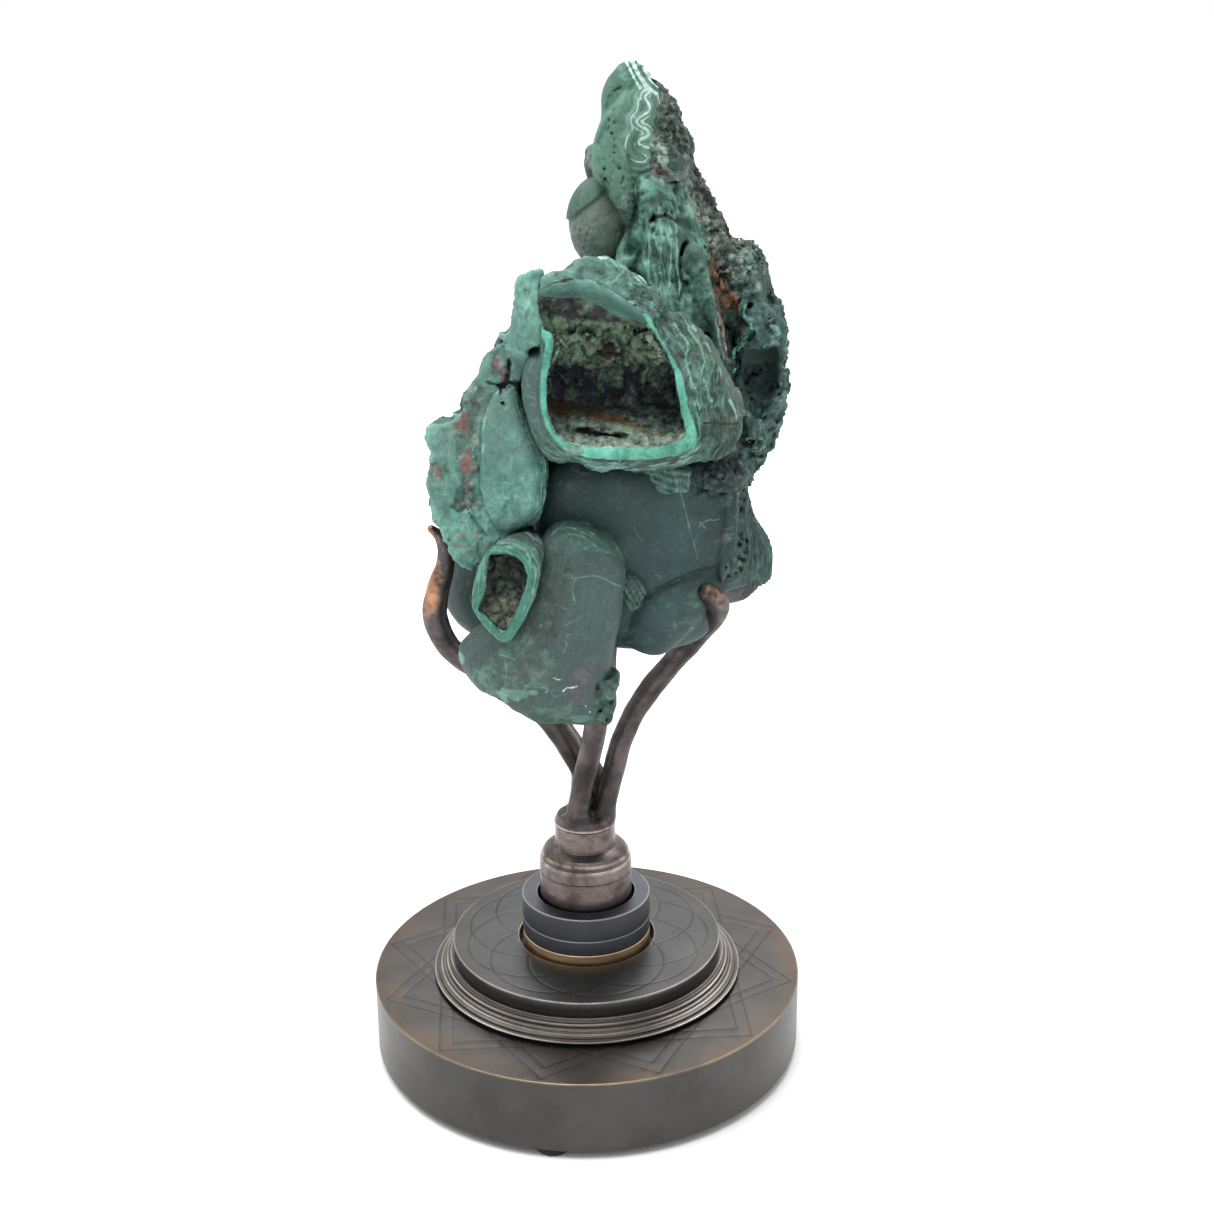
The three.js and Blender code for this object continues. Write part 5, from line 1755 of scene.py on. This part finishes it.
TAB = Outline([(5.6, 153.2), (8.5, 153.4), (10.5, 154.6), (12.2, 152.0), (11.0, 148.8),
               (10.6, 143.4), (8.4, 137.4), (4.6, 139), (5.2, 146)], -40)
CRESCENT = [(-12, 200.3), (-8.1, 200.8), (-3.9, 200), (-2, 197.8), (-0.5, 196.6), (2.1, 197.1),
            (5.5, 196.5), (8.9, 195.4), (11.9, 193.6), (13.7, 190)]
SCRATCHES = ([(-9, 156.3), (-7.6, 155.6), (-6.4, 155.4)],
             [(-5.6, 151.4), (-4.4, 152.6), (-3.3, 152.5), (-1.1, 153)],
             [(-12.1, 173.9), (-12, 173.7)], [(-16.1, 144.6), (-15.8, 144.4)],
             [(1.4, 146), (1.6, 146)], [(2.7, 143.9), (2.9, 143.9)])
LOBE_RIDGE = [(-9, 197), (-10, 185.2), (-12, 176.1), (-16.5, 168.8), (-22, 163.5)]


def above_crescent(p):
    """Above the broken edge of the front lobe's outer skin: positive, in mm."""
    return p[:, 2] - height_on(CRESCENT, p[:, 0]) + 0.8 * rough(p, 3, 54)


def front_body(p):
    """The front lobe: a smooth tongue with a broken crest and a crumbly tab at its foot."""
    x, y, z = p.T
    left = 0.014 * np.clip(-14 - x, 0, 40) ** 2
    top = 0.006 * np.clip(z - 178, 0, 40) ** 2 + 0.02 * np.clip(x - 4, 0, 20) ** 2
    face = -44 + left + top + 0.5 * rise(-0.2, 0.4, above_crescent(p)) - y
    whole = both(both(FRONT.away(p) + 0.3 * rough(p, 4, 50, 3, 0.6), face, 9), y + 17, 8)
    tab = both(both(TAB.away(p) + 0.7 * rough(p, 2.6, 60), -41.5 - y, 1.5), y + 30, 2)
    return join(whole, tab, 0.4)


def front_relief(p):
    x, y, z = p.T
    tab = rise(1.0, -0.5, TAB.away(p)) * rise(-34, -37, y)
    smooth = 1.0 * rough(p, 17, 51) + 0.14 * rough(p, 2.6, 52)
    crest = rise(0, 0.5, above_crescent(p)) * (0.35 * rough(p, 2.5, 61) + 0.3 * np.sin(
        (FRONT.away(p) + 0.5 * rough(p, 5, 62)) * 2 * math.pi / 2.0))
    low = rise(152, 144, z + 0.15 * x)
    chipped = low * (0.6 * rough(p, 4, 56, 3, 0.6) - 0.2)
    dents = rise(1.0, 0.3, grains(p, 3.0, 53)[0]) * 1.4
    ridge = rise(5.0, 0.5, line_away(p, LOBE_RIDGE) + 1.2 * rough(p, 7, 73)) * rise(-30, -36, y)
    return smooth + crest + chipped + 0.9 * ridge + tab * (1.2 * rough(p, 2.6, 63) - dents)


def front_paint(p):
    x, y, z = p.T
    crest = above_crescent(p)
    tab = rise(1.5, 0, TAB.away(p)) * rise(-34, -37, y)
    patch = patches(p, [(-20, 150.2, 4.6, 1.7), (-15.5, 150.8, 2.4, 1.0), (-24.3, 149.5, 1.2, 2.4),
                        (-38.6, 158.5, 1.6, 2.0)], 0.9, 2.6, 55)
    dull = patches(p, [(-8, 145, 4.4, 3.0), (-14, 145.5, 2.4, 2.6), (0, 141.6, 5, 1.4),
                       (-34, 154, 4, 3)], 0.9, 3, 74)
    mint = patches(p, [(2.2, 198.4, 4.6, 1.7), (8.2, 196.6, 4.2, 1.9), (12.2, 193.2, 1.6, 2.6)],
                   0.6, 2.5, 69) * rise(-0.2, 0.3, crest)
    brown = patches(p, [(8, 192, 3.6, 2.0), (-2, 152.5, 7, 4.5), (1, 160, 5, 4)], 0.6, 4, 64)
    grey = patches(p, [(-7.5, 186, 4.5, 12), (-12, 172, 4.5, 8), (-16, 159, 5, 5)], 0.5, 8, 66)
    edge = near(crest, 0.1, 0.5) * rise(-6, -3, x)
    green = patches(p, [(-25, 157, 7, 9), (-14, 158, 6, 7), (-19, 170, 4, 6)], 0.5, 7, 68)
    return {"fresh": np.clip(0.6 * rise(0, 0.6, crest) + 0.62 * tab + 0.72 * patch
                             + 0.46 * dull + 0.6 * mint + 0.45 * green
                             + 0.25 * rise(146, 141, z + 0.5 * rough(p, 6, 61)), 0, 1),
            "crumb": 0.7 * tab + 0.25 * mint + 0.2 * patch,
            "plum": np.clip(0.4 * brown + 0.26 * rise(-0.1, 0.3, rough(p, 12, 65)), 0, 1),
            "rim": 0.62 * edge,
            "white": close(nearest_line(p, SCRATCHES) + 0.15) * rise(-36, -39, y),
            "line": 0.1 + 0.4 * rough(p, 3, 58) + 1.0 * patch + 0.1 * dull + 0.8 * mint
            - 0.3 * grey
            - 0.9 * rise(0, 0.6, crest) + 0.1 * brown + 0.2 * green
            + 0.2 * rise(203, 205, z),
            "lined": np.clip(0.45 * rise(0, 1, crest) * (1 - mint) + 0.2 * patch + 0.08, 0, 1),
            "across": FRONT.away(p) + 1.5 * rough(p, 12, 62), "along": 0.13 * (x - z),
            "crust": 0.5 * grey, "even": 0.6 * (1 - tab),
            # near-black in the tab's dents: painted shade
            "dark": np.clip(0.75 * tab * rise(0.95, 0.5, grains(p, 3.0, 53)[0])
                            + 0.3 * tab, 0, 1)}


grow("front_lobe", (-46, -50, 132), (19, -12, 210), 0.55, front_body, front_relief, front_paint,
     grey_skin)


def small_geode_body(p):
    """The small geode: a thin-walled tube on the front lobe, with a druse-lined hollow."""
    x, y, z = p.T
    side = SMALL.away(p) + 0.25 * rough(p, 4, 61)
    lip = SMALL_HOLE.away(p)
    outer = rise(0, 2, lip - 2.6) * rise(-20, -14, x + 0.3 * (z - 190))
    face = -50 + 1.0 * np.clip(lip - 3.2, 0, 6) + 0.6 * outer - y
    whole = both(both(side, face, 1.0), y + 20, 3)
    hole = lip + 0.3 * rough(p, 3, 62)
    return both(whole, -both(hole - 1.0 * rise(-49.5, -46, y), y + 38 + 6 * rise(188, 178, z), 4),
                0.4)


def small_geode_relief(p):
    x, y, z = p.T
    inside = rise(1.6, 0.6, SMALL_HOLE.away(p)) * rise(-49, -47, y)
    druse = 2.6 * domes(p, 3.8, 63) + 1.0 * domes(p, 1.6, 64) - 1.5 + 1.2 * rough(p, 6, 66)
    ribs = 0.3 * waves(y + 1.5 * rough(p, 8, 65), 3.0)
    return inside * druse + (1 - inside) * (0.2 * rough(p, 2.4, 66) + ribs * rise(-48, -44, y))


def small_geode_paint(p):
    x, y, z = p.T
    hole = SMALL_HOLE.away(p)
    inside = rise(0.6, 0.0, hole) * rise(-49.6, -48.8, y)
    front = rise(-46.6, -48.4, y) * (1 - inside)
    band = rise(3.6, 2.8, hole + 0.4 * rough(p, 4, 67))
    layers = waves(hole + 0.3 * rough(p, 4, 68), 1.1)
    beyond = rise(2.8, 3.4, hole)
    return {"rim": front * band * (0.8 + 0.2 * rough(p, 2, 69)), "druse": inside,
            "crumb": 0.5 * inside, "even": 0.5 * inside,
            "fresh": np.clip(0.65 * front + 0.3 * rise(-40, -46, y), 0, 1),
            "rust": inside * (0.36 + 0.12 * rise(186, 178, z)),
            "line": np.clip(inside * (0.15 * rise(190, 180, z) + 0.5 * domes(p, 3.8, 63) - 0.05)
                            + (1 - inside) * (0.22 + 0.3 * layers), 0, 1),
            "lined": 0.7 * (1 - inside), "across": hole + 0.3 * rough(p, 4, 68),
            "along": 0.12 * (z - x),
            # the hollow painted darker, most towards its top under the upper rim: painted shade
            "dark": np.clip(inside * (0.2 + 0.5 * rise(178, 190, z)) + 0.35 * beyond * front
                            * rise(0.2, 0.9, layers) + 0.25 * (1 - front) * (1 - inside), 0, 1)}


grow("small_geode", (-38, -54, 165), (-6, -17, 208), 0.45, small_geode_body, small_geode_relief,
     small_geode_paint, grey_skin)

# ---------------------------------------------------------------- grown stone: the spire

SPIRE = Outline([
    (15.2, 339.9), (18.6, 340.1), (21.6, 338), (24, 334), (26.4, 330), (28, 322), (30, 310),
    (30, 298), (24, 286), (16, 287), (12.5, 292), (9, 300), (5.8, 307), (5.0, 312), (6.2, 318),
    (8.0, 323.5), (8.2, 328.5), (9.2, 333.2), (11.4, 336.4)], -10, 0.05)
RIB = Outline([
    (19.6, 331.2), (17.6, 332.4), (14.9, 331.6), (12, 328.3), (8.3, 323.3), (6.1, 317),
    (5.2, 312), (5.8, 307), (8.7, 303.4), (9.8, 300.3), (12.8, 296), (16.6, 293.6), (18.2, 298),
    (18.0, 303), (16.8, 308), (15.6, 313), (16.6, 319), (18.8, 325)], -17, 0.05)
RIB_CREASE = [(9.6, 321), (7.9, 316.4), (9.3, 310.1), (9.6, 305.1), (11.8, 298.5), (14.7, 295)]
RIB_COLUMN = [(11, 325), (11.4, 318), (12.4, 312), (15, 305), (15.6, 298)]
BALL = ((8.2, 0, 291.5), (10.6, 12.5, 14.0))
TIP_CRACK = [(14, 332.4), (11.8, 331.2), (10.4, 329.2), (9.9, 326.6)]
WHITE_BAND = curve_through([
    (22.9, 331.0), (21.3, 329.6), (22.5, 327.8), (22.9, 325.9), (20.4, 324.1), (18.8, 323.0),
    (19.6, 321.3), (21.8, 320.3), (22.6, 318.6), (20.2, 317.4), (19.4, 316.3), (20.6, 315.5),
    (22.4, 314.9)], 0.8).tolist()
PALE_BAND = curve_through([
    (21.4, 332.0), (19.6, 329.6), (18.9, 326.0), (17.0, 323.6), (17.6, 320.6), (15.8, 317.9),
    (15.4, 315.3), (16.3, 312.4), (18.6, 310.9), (21.0, 310.7), (22.3, 311.9), (20.6, 313.2)],
    0.8).tolist()
TIP_LINES = ([(15.9, 339.6), (18.2, 335.0), (19.9, 332.2)],
             [(17.6, 340.0), (19.8, 335.6), (22.3, 332.2), (25.4, 330.2), (26.4, 327.8)],
             [(21, 338), (23.0, 334.9), (25.6, 332.4)])


def over_cap(p):
    """Height over the slanting lower edge of the ball's smooth cap."""
    return (p[:, 2] - 294.6) - 0.78 * (p[:, 0] + 0.2) + 0.5 * rough(p, 5, 72)


def spire_body(p):
    """The spire: its trunk, front rib, capped ball and knot, split at the tip."""
    x, y, z = p.T
    trunk = both(both(SPIRE.away(p) + 0.4 * rough(p, 5, 70), -11 + 0.03 * (x - 15) ** 2
                      - y, 6), y - 11, 8)
    dome = -19.5 + 0.10 * (x - 12) ** 2 + 4 * rise(322, 334, z) ** 2
    rib = both(both(RIB.away(p), dome - y, 3.5), y - 2, 2)
    crease = line_away(p, RIB_CREASE)
    rib = rib + 1.3 * rise(1.9, 0, crease) * rise(-6, -10, y)
    ball = lump(p, *BALL)
    ball = ball - 0.9 * rise(-0.5, 0.7, over_cap(p))
    knot = lump(p, (6.4, 5, 309), (3.6, 6, 6.5), -5) - 0.8 * rough(p, 2.5, 79)
    whole = join(trunk, ball, 0.4)
    whole = join(whole, knot, 0.5)
    whole = join(whole, rib, 0.3)
    cleft = np.maximum(line_away(p, TIP_CRACK) - 0.15 - 0.35 * rough(p, 2, 71), y + 8)
    return both(whole, -cleft, 0.4)


def spire_crust(p):
    """1 on the crusty side of the spire, right of the milky bands."""
    return rise(21.4, 22.8, p[:, 0] - 0.13 * (p[:, 2] - 309) + 0.9 * rough(p, 3, 85))


def rib_shares(p):
    """1 on the spire's front rib, and on the pitted column down its middle."""
    rib = rise(1, -1, RIB.away(p)) * rise(-10, -14, p[:, 1])
    return rib, near(line_away(p, RIB_COLUMN), 0, 3.0) * rib


def spire_relief(p):
    x, y, z = p.T
    pores = grains(p, 1.9, 71)[0]
    rib, column = rib_shares(p)
    left = near(line_away(p, RIB_CREASE), 0.6, 2.0) * rib * rise(314, 308, z)
    low = rise(300, 292, z)
    pit = rise(0.85, 0.35, pores) * np.clip(column + left + 0.5 * low, 0, 1)
    pit = pit * rise(-0.4, -0.1, rough(p, 5, 72))
    crusty = spire_crust(p)
    away = np.minimum(line_away(p, WHITE_BAND), line_away(p, PALE_BAND))
    ledge = 0.3 * waves(away, 2.0) * rise(15, 17, x)
    return (0.35 * rough(p, 9, 73) + 0.14 * rough(p, 2.0, 74) - 1.1 * pit + ledge
            + crusty * (1.6 * domes(p, 2.8, 75) - 0.4))


def spire_paint(p):
    x, y, z = p.T
    facing = rise(4, -2, y)
    main = line_away(p, WHITE_BAND) + 0.2 * rough(p, 1.6, 76)
    pale = line_away(p, PALE_BAND) + 0.2 * rough(p, 1.6, 77)
    lines = np.minimum(main - 0.06, pale + 0.14) + 0.3 * rise(0, 0.3, rough(p, 5, 84))
    lines = np.minimum(lines, np.abs(main - 1.25) + 0.12 + 0.5 * rise(-0.1, 0.3, rough(p, 4, 79)))
    for route, thicker in zip(TIP_LINES, (0.0, 0.2, 0.1)):
        lines = np.minimum(lines, line_away(p, route) + 0.2 * rough(p, 2, 80) - thicker)
    away = np.minimum(main, pale)
    glow = rise(3.4, 0.6, away) * facing
    fade = patches(p, [(19.5, 305.5, 3.2, 5.5)], 0.5, 4, 81) * facing
    pores = grains(p, 1.9, 71)[0]
    rib, column = rib_shares(p)
    left = near(line_away(p, RIB_CREASE), 0.6, 2.2) * rib * rise(316, 308, z)
    ball = rise(2.6, 1.4, lump(p, *BALL))
    cap = over_cap(p)
    low = rise(314, 298, z) * rib * rise(12, 15, x)
    crusty = spire_crust(p)
    knot = rise(7, 5.5, x) * rise(315, 312, z) * rise(302, 304, z) * rise(-6, -2, y)
    return {"white": close(lines) * facing, "lined": np.clip(0.6 * glow + 0.6 * fade, 0, 1),
            "crumb": np.clip(0.9 * crusty + 0.7 * knot + 0.25 * low, 0, 1),
            "across": away + 0.6 * rough(p, 5, 83), "along": 0.1 * z,
            "fresh": np.clip(0.6 * glow + 0.55 * fade + 0.3 * (1 - ball), 0, 1),
            "crust": np.clip(0.8 * crusty + 0.55 * low + 0.8 * knot
                             + ball * (0.9 - 0.6 * rise(-1, 0.2, cap)), 0, 1),
            "even": 0.8 * ball,
            "line": 0.3 + 0.15 * glow + 0.25 * rough(p, 4, 82) + 0.05 * ball,
            "dark": np.clip(0.32 * ball * rise(-0.6, 0.6, cap) + 0.3 * ball * near(cap, -0.6, 0.7)
                            # near-black in the rib's pits: painted shade
                            + 0.7 * (column + left) * rise(0.8, 0.4, pores)
                            * rise(-0.4, -0.1, rough(p, 5, 72))
                            + 0.3 * rise(0.9, 0.3, line_away(p, TIP_CRACK)) * facing, 0, 1)}


grow("spire", (-6, -26, 272), (40, 22, 344), 0.5, spire_body, spire_relief, spire_paint,
     green_skin)

# ---------------------------------------------------------------- grown stone: the right crust

RUST_SEAM = [(38, 301), (40, 293), (42.6, 282), (44.5, 275), (46.4, 268.5), (48.3, 263), (48, 256)]
CRUST_EDGE = [(22.2, 325), (23.7, 312.4), (23.4, 309.6), (27.3, 304.5), (33.6, 303.7), (35.2, 298),
              (38.0, 292.1), (41.4, 285.5), (43.4, 278.1), (44.4, 272), (47, 262), (47.5, 254)]
CURLED_LIP = [(53.8, 269.1), (51.9, 266.1), (51.5, 263.7), (53.9, 262.2), (54.5, 259.8),
              (51.6, 256), (49.8, 252), (48.6, 248.1)]
OVAL = Outline([(34.2, 287.6), (38.5, 285.2), (41.6, 279.5), (43.2, 272.5), (42.5, 265),
                (39.5, 259), (35.5, 262), (33.4, 269), (33.0, 276.5), (33.2, 283)], -22)
TAPER = Outline([(39, 271), (43.5, 273), (46.2, 264), (47.6, 254.5), (46.6, 250), (43, 252),
                 (40.5, 261)], -24)
FOLD_LINES = ([(22.9, 292.2), (22.6, 287), (22.2, 279.5), (22.9, 274.3)],
              [(25.2, 293.3), (26.3, 290), (25.6, 284.8), (25.2, 279.5), (26.3, 276.5)],
              [(27.8, 293.7), (28.9, 290), (28.6, 284.8), (28.2, 275)],
              [(30.1, 293), (30.8, 287), (30.4, 281), (31.6, 277.3), (31.2, 272)],
              [(42.1, 266.1), (42.8, 261.6), (43.6, 257.2)],
              [(42.8, 266.9), (44.3, 261.6), (45.8, 254.9)])
ARCH = [(22.6, 293.6), (24.4, 295.2), (27.6, 295.4), (31.2, 293.2)]
CRESCENT_SLOT = [(34.2, 287.6), (32.4, 285.3), (31.5, 281), (32.2, 276.4), (33.8, 275.4)]
RECESS = [((59.2, -3, 244), (7.0, 11, 10.5)), ((59, -5, 232.5), (5.2, 6.5, 7.5))]
FOLDS = [(25.5, 294), (25.4, 283), (27, 272), (29.5, 264)]


def recess(p):
    """The smooth hollow in the crust's right side."""
    return join(lump(p, *RECESS[0]), lump(p, *RECESS[1]), 2.5)


def crust_grains(p):
    """The crust's lumpiness, 0 to 1, and 1 in its ragged holes."""
    warp = warped(p, 2.6, 4, (90, 94, 95))
    lumps = 0.42 * domes(warp, 4.4, 84) + 0.34 * domes(warp, 1.9, 85)
    lumps = np.clip(lumps + 0.28 + 0.6 * rough(p, 5, 96, 4, 0.56), 0, 1)
    return lumps, rise(0.10, 0.26, rough(warp, 3.4, 103, 3, 0.6))


def rust_cracks(p):
    """0 in the cracks between the rusty lumps, growing to each lump's middle."""
    warp = warped(p, 1.2, 3, (110, 111, 112))
    first, second = grains(warp * np.array([1.3, 1, 0.8], np.float32), 3.4, 113)
    return second - first


def crust_body(p):
    """The crust: a slope of lumps, with curtains hanging down its left side."""
    x, y, z = p.T
    whole = lump(p, (33.5, 5, 292), (12.3, 16, 40), -29)
    for centre, half, lean in (((26.5, 3, 319), (8.6, 11, 16), -24),
                               ((29.5, -5, 310), (5.5, 7.5, 6.5), 0),
                               ((50, 9, 270), (13.2, 15, 16), 0),
                               ((60, 7, 256), (8.4, 12.5, 13), 0),
                               ((58, 14, 237), (10.8, 16, 27), 2),
                               ((52.5, 12, 214), (6.8, 10, 14), -8)):
        whole = join(whole, lump(p, centre, half, lean), 2.0)
    knob = lump(p, (58, -4, 258), (7.5, 9, 8.5))
    whole = join(whole, knob, 0.8)
    curtain = join(lump(p, (29, -9, 279), (11, 12.5, 17.5), -16),
                   lump(p, (24.5, -10, 296), (7.5, 8, 12), -14), 0.8)
    curtain = join(curtain, lump(p, (17.4, -12, 286), (3.8, 6, 9.5), 25), 0.8)
    curtain = join(curtain, lump(p, (31.5, -17, 266), (6, 9, 12), -25), 1.5)
    oval = both(both(OVAL.away(p), -22.5 + 0.03 * (x - 39) ** 2 - y, 4), y + 6, 3)
    curtain = join(curtain, oval, 0.5)
    taper = both(both(TAPER.away(p), -25 + 0.2 * (x - 44) - y, 3), y + 6, 3)
    curtain = join(curtain, taper, 0.8)
    slot = np.maximum(line_away(p, CRESCENT_SLOT) - 0.55 - 0.35 * rough(p, 4, 80), y + 12)
    hollow = np.maximum(line_away(p, ARCH) - 0.6 - 0.5 * rough(p, 3, 102), y + 14)
    hollow = join(hollow, lump(p, (16.4, -18, 284.8), (1.8, 3, 2.2)), 0.2)
    whole = join(whole, both(both(curtain, -slot, 0.5), -hollow, 0.6), 0.8)
    whole = both(whole, -recess(p), 2.2)
    seam = line_away(p, RUST_SEAM) + 1.2 * rough(p, 5, 89)
    whole = whole + 2.6 * rise(4.2, 1.6, seam) * rise(0, -6, y)
    return both(whole, -cave(p, 2.5), 1)


def curtain_share(p):
    """1 on the smooth green curtains, left of the crust's edge."""
    x, y, z = p.T
    return rise(0.8, -0.8, x - side_on(CRUST_EDGE, z) + 1.6 * rough(p, 5, 81)) * rise(0, -5, y)


def fold_run(p):
    """The way across the curtains' folds."""
    return p[:, 0] + 0.18 * p[:, 2] + 0.7 * rough(p, 7, 92)


def curtain_folds(p):
    """Noise from -1 to 1, drawn out down the folds."""
    q = np.stack([fold_run(p), 0.12 * p[:, 2], 0.5 * p[:, 1]], axis=1).astype(np.float32)
    return rough(q, 2.2, 82, 2, 0.6)


def folded_share(p):
    """1 where the curtains hang in bright upright folds."""
    near_folds = rise(6.5, 3.5, line_away(p, FOLDS) + 1.2 * rough(p, 6, 104))
    taper = rise(3.2, 1.8, line_away(p, [(43, 271), (46, 255)]))
    return np.maximum(near_folds, 0.8 * taper) * curtain_share(p)


def fold_lines(p):
    """Distance to the pale crests of the curtains' folds."""
    away = nearest_line(warped(p, 0.9, 5, (108, None, None)), FOLD_LINES)
    return away + 0.3 * np.abs(rough(p, 3, 109))


def curtain_pits(p):
    """1 in the small ragged pits that thicken towards the curtains' upper left."""
    x, y, z = p.T
    often = rise(0.25, -0.1, rough(p, 8, 105) - 0.35 * rise(286, 300, z))
    return rise(1.15, 0.55, grains(p, 3.0, 106)[0] + 0.3 * rough(p, 1.5, 107)) * often


def oval_share(p):
    """1 on the smooth oval lobe that hangs over the curtains."""
    return rise(0.5, -0.8, OVAL.away(p)) * rise(-12, -16, p[:, 1])


def seam_away(p):
    """Distance to the ragged rusty seam."""
    return line_away(p, RUST_SEAM) + 1.6 * rough(p, 4, 87)


def crust_relief(p):
    x, y, z = p.T
    curtain = curtain_share(p)
    oval = oval_share(p)
    folded = folded_share(p)
    soft = (1.8 * curtain_folds(p) * folded + 0.9 * rise(1.1, 0.1, fold_lines(p))
            + 1.3 * rough(p, 6, 83, 4, 0.6) * (1 - 0.5 * oval)
            + 0.4 * rough(p, 1.8, 93) - 1.2 * curtain_pits(p) * (1 - 0.6 * oval))
    lumps, holes = crust_grains(p)
    smooth = patches(p, [(29.5, 310.3, 3.6, 3.8)], 0.2, 4, 97) * rise(-4, -8, y)
    seam = rise(4.5, 2.5, seam_away(p)) * rise(0, -6, y)
    knobbly = (3.6 * lumps - 2.4 + 1.6 * rough(p, 10, 86) - 1.6 * holes) * (1 - 0.75 * smooth)
    knobbly = knobbly + seam * (1.6 * rise(0.15, 0.7, rust_cracks(p)) - 1.2)
    calm = rise(1.5, 0.4, recess(p)) * rise(230, 240, z)
    curled = 2.4 * rise(1.5, 0.5, line_away(p, CURLED_LIP) + 0.3 * rough(p, 3, 99)) * rise(0, -4, y)
    return curtain * soft + (1 - curtain) * knobbly * (1 - 0.85 * calm) + curled


def crust_paint(p):
    x, y, z = p.T
    curtain = curtain_share(p)
    seam = seam_away(p)
    wide = 1.0 + 2.6 * rise(284, 268, z)
    rust = rise(wide + 1.2, wide - 0.6, seam) * rise(0, -6, y)
    # the recess in the right side, painted dark as shade
    hollow = rise(1.6, -0.4, recess(p)) * rise(226, 240, z)
    high = rise(262, 296, z)
    # the lumps: their tops painted lighter and the gaps between them darker, as light and shade;
    # their holes painted dark as shade
    lit_tops, holes = crust_grains(p)
    folds = curtain_folds(p)
    oval = oval_share(p)
    sleeve = rise(19, 17, x + 0.4 * (z - 292))
    lens = patches(p, [(26.2, 289.5, 3.6, 4.2), (38, 296, 3, 1.6), (21, 304, 3.4, 3.6),
                       (24.5, 276, 1.6, 4)], 0.6, 3, 98) * curtain
    lip = rise(1.2, 0.5, line_away(p, CURLED_LIP) + 0.4 * rough(p, 3, 99)) * rise(0, -4, y)
    folded = folded_share(p)
    bright = rise(0.12, 0.35, rough(p, 4, 88))
    pits = rise(0.0, 0.25, rough(p, 3.0, 100))
    slot = np.minimum(line_away(p, CRESCENT_SLOT) - 0.3, line_away(p, ARCH) - 0.3)
    # the folds' crests painted white and lighter, their troughs darker: painted highlight and shade
    streak = folds * folded
    # high up, the right flank painted darker as shade and the left side lighter as painted light
    flank = rise(-4, 5, x - 31.5 + 0.5 * (z - 310)) * high
    return {"fresh": np.clip(0.85 * curtain * (1 - 0.5 * oval) + 0.6 * bright * (1 - 0.3 * high)
                             * (1 - hollow) + 0.7 * lens - 0.5 * hollow + 0.25 * (1 - high), 0, 1),
            "crumb": np.clip(0.85 * (1 - curtain) * (1 - 0.9 * hollow) + 0.35 * curtain
                             * (1 - folded), 0, 1),
            "rim": 0.5 * lip, "pale": curtain * close(fold_lines(p) + 0.1),
            "plum": 0.26 * (1 - curtain) * high * (1 - rust),
            "crust": np.clip((1 - curtain) * (0.34 + 0.5 * high) * (1 - 0.5 * bright)
                             - 0.6 * hollow + 0.3 * oval, 0, 1),
            "lined": 0.75 * folded,
            "across": fold_run(p) * 1.3, "along": 0.06 * z,
            "crack": close(slot) * rise(-10, -13, y),
            "rust": rust * (0.42 + 0.35 * rise(290, 270, z)) * (1 - hollow) * (1 - lip),
            "white": 0.95 * rise(0.42, 0.62, streak),
            "red": 0.5 * patches(p, [(26.6, 308, 2.6, 1.8)], 0.6, 3, 101) * rise(0, -4, y),
            "line": curtain * (0.15 + 0.95 * streak + 0.25 * sleeve + 0.7 * rough(p, 5, 83))
            + (1 - curtain) * (1.2 * lit_tops - 0.1 + 0.4 * (high - flank) - 0.55 * flank)
            + 0.1 * rust + 0.6 * lens,
            "dark": np.clip(0.5 * hollow + (1 - curtain) * (0.2 * rise(0.42, 0.2, lit_tops)
                            + 0.45 * holes + 0.25 * flank)
                            + rust * (0.35 * pits + 0.85 * rise(0.5, 0.15, rust_cracks(p)))
                            # near-black in the curtains' pits: painted shade
                            + 0.7 * curtain * curtain_pits(p)
                            + 0.35 * curtain * rise(-0.25, -0.5, streak), 0, 1)}


grow("crust", (8, -28, 204), (76, 36, 342), 0.66, crust_body, crust_relief, crust_paint, crusted)

# ---------------------------------------------------------------- grown stone: the unseen back


def back_body(p):
    """Plain botryoidal lobes, a guess at the side that is never seen."""
    whole = lump(p, (22, 12, 231), (34, 22, 52), -5)
    for centre, half, lean in (((0, 22, 178), (19, 16, 21), 0), ((-15, 18, 208), (20, 19, 25), 0),
                               ((26, 27, 196), (23, 15.5, 27), 0),
                               ((0, 22, 232), (18, 18.5, 25), 6),
                               ((32, 25, 248), (21, 16.5, 27), 0)):
        whole = join(whole, lump(p, centre, half, lean), 2.0)
    return both(whole, -cave(p, 3.0), 1)


def back_relief(p):
    first = 3.2 * domes(p, 13, 91) - 1.8
    second = 0.9 * domes(p, 4.2, 92) * rise(-0.1, 0.35, rough(p, 16, 93))
    return first + second + 0.15 * rough(p, 3, 94)


def back_paint(p):
    bare = rise(-0.05, 0.35, rough(p, 18, 95))
    return {"fresh": 0.5 * rise(0.1, 0.4, rough(p, 9, 96)), "crust": 0.46 * bare,
            "crumb": 0.3 * bare,
            # lighter on each lobe's top: painted light
            "line": 0.3 + 0.6 * domes(p, 13, 91)}


grow("back_lobes", (-42, -14, 152), (66, 50, 290), 0.95, back_body, back_relief, back_paint,
     dark_skin)
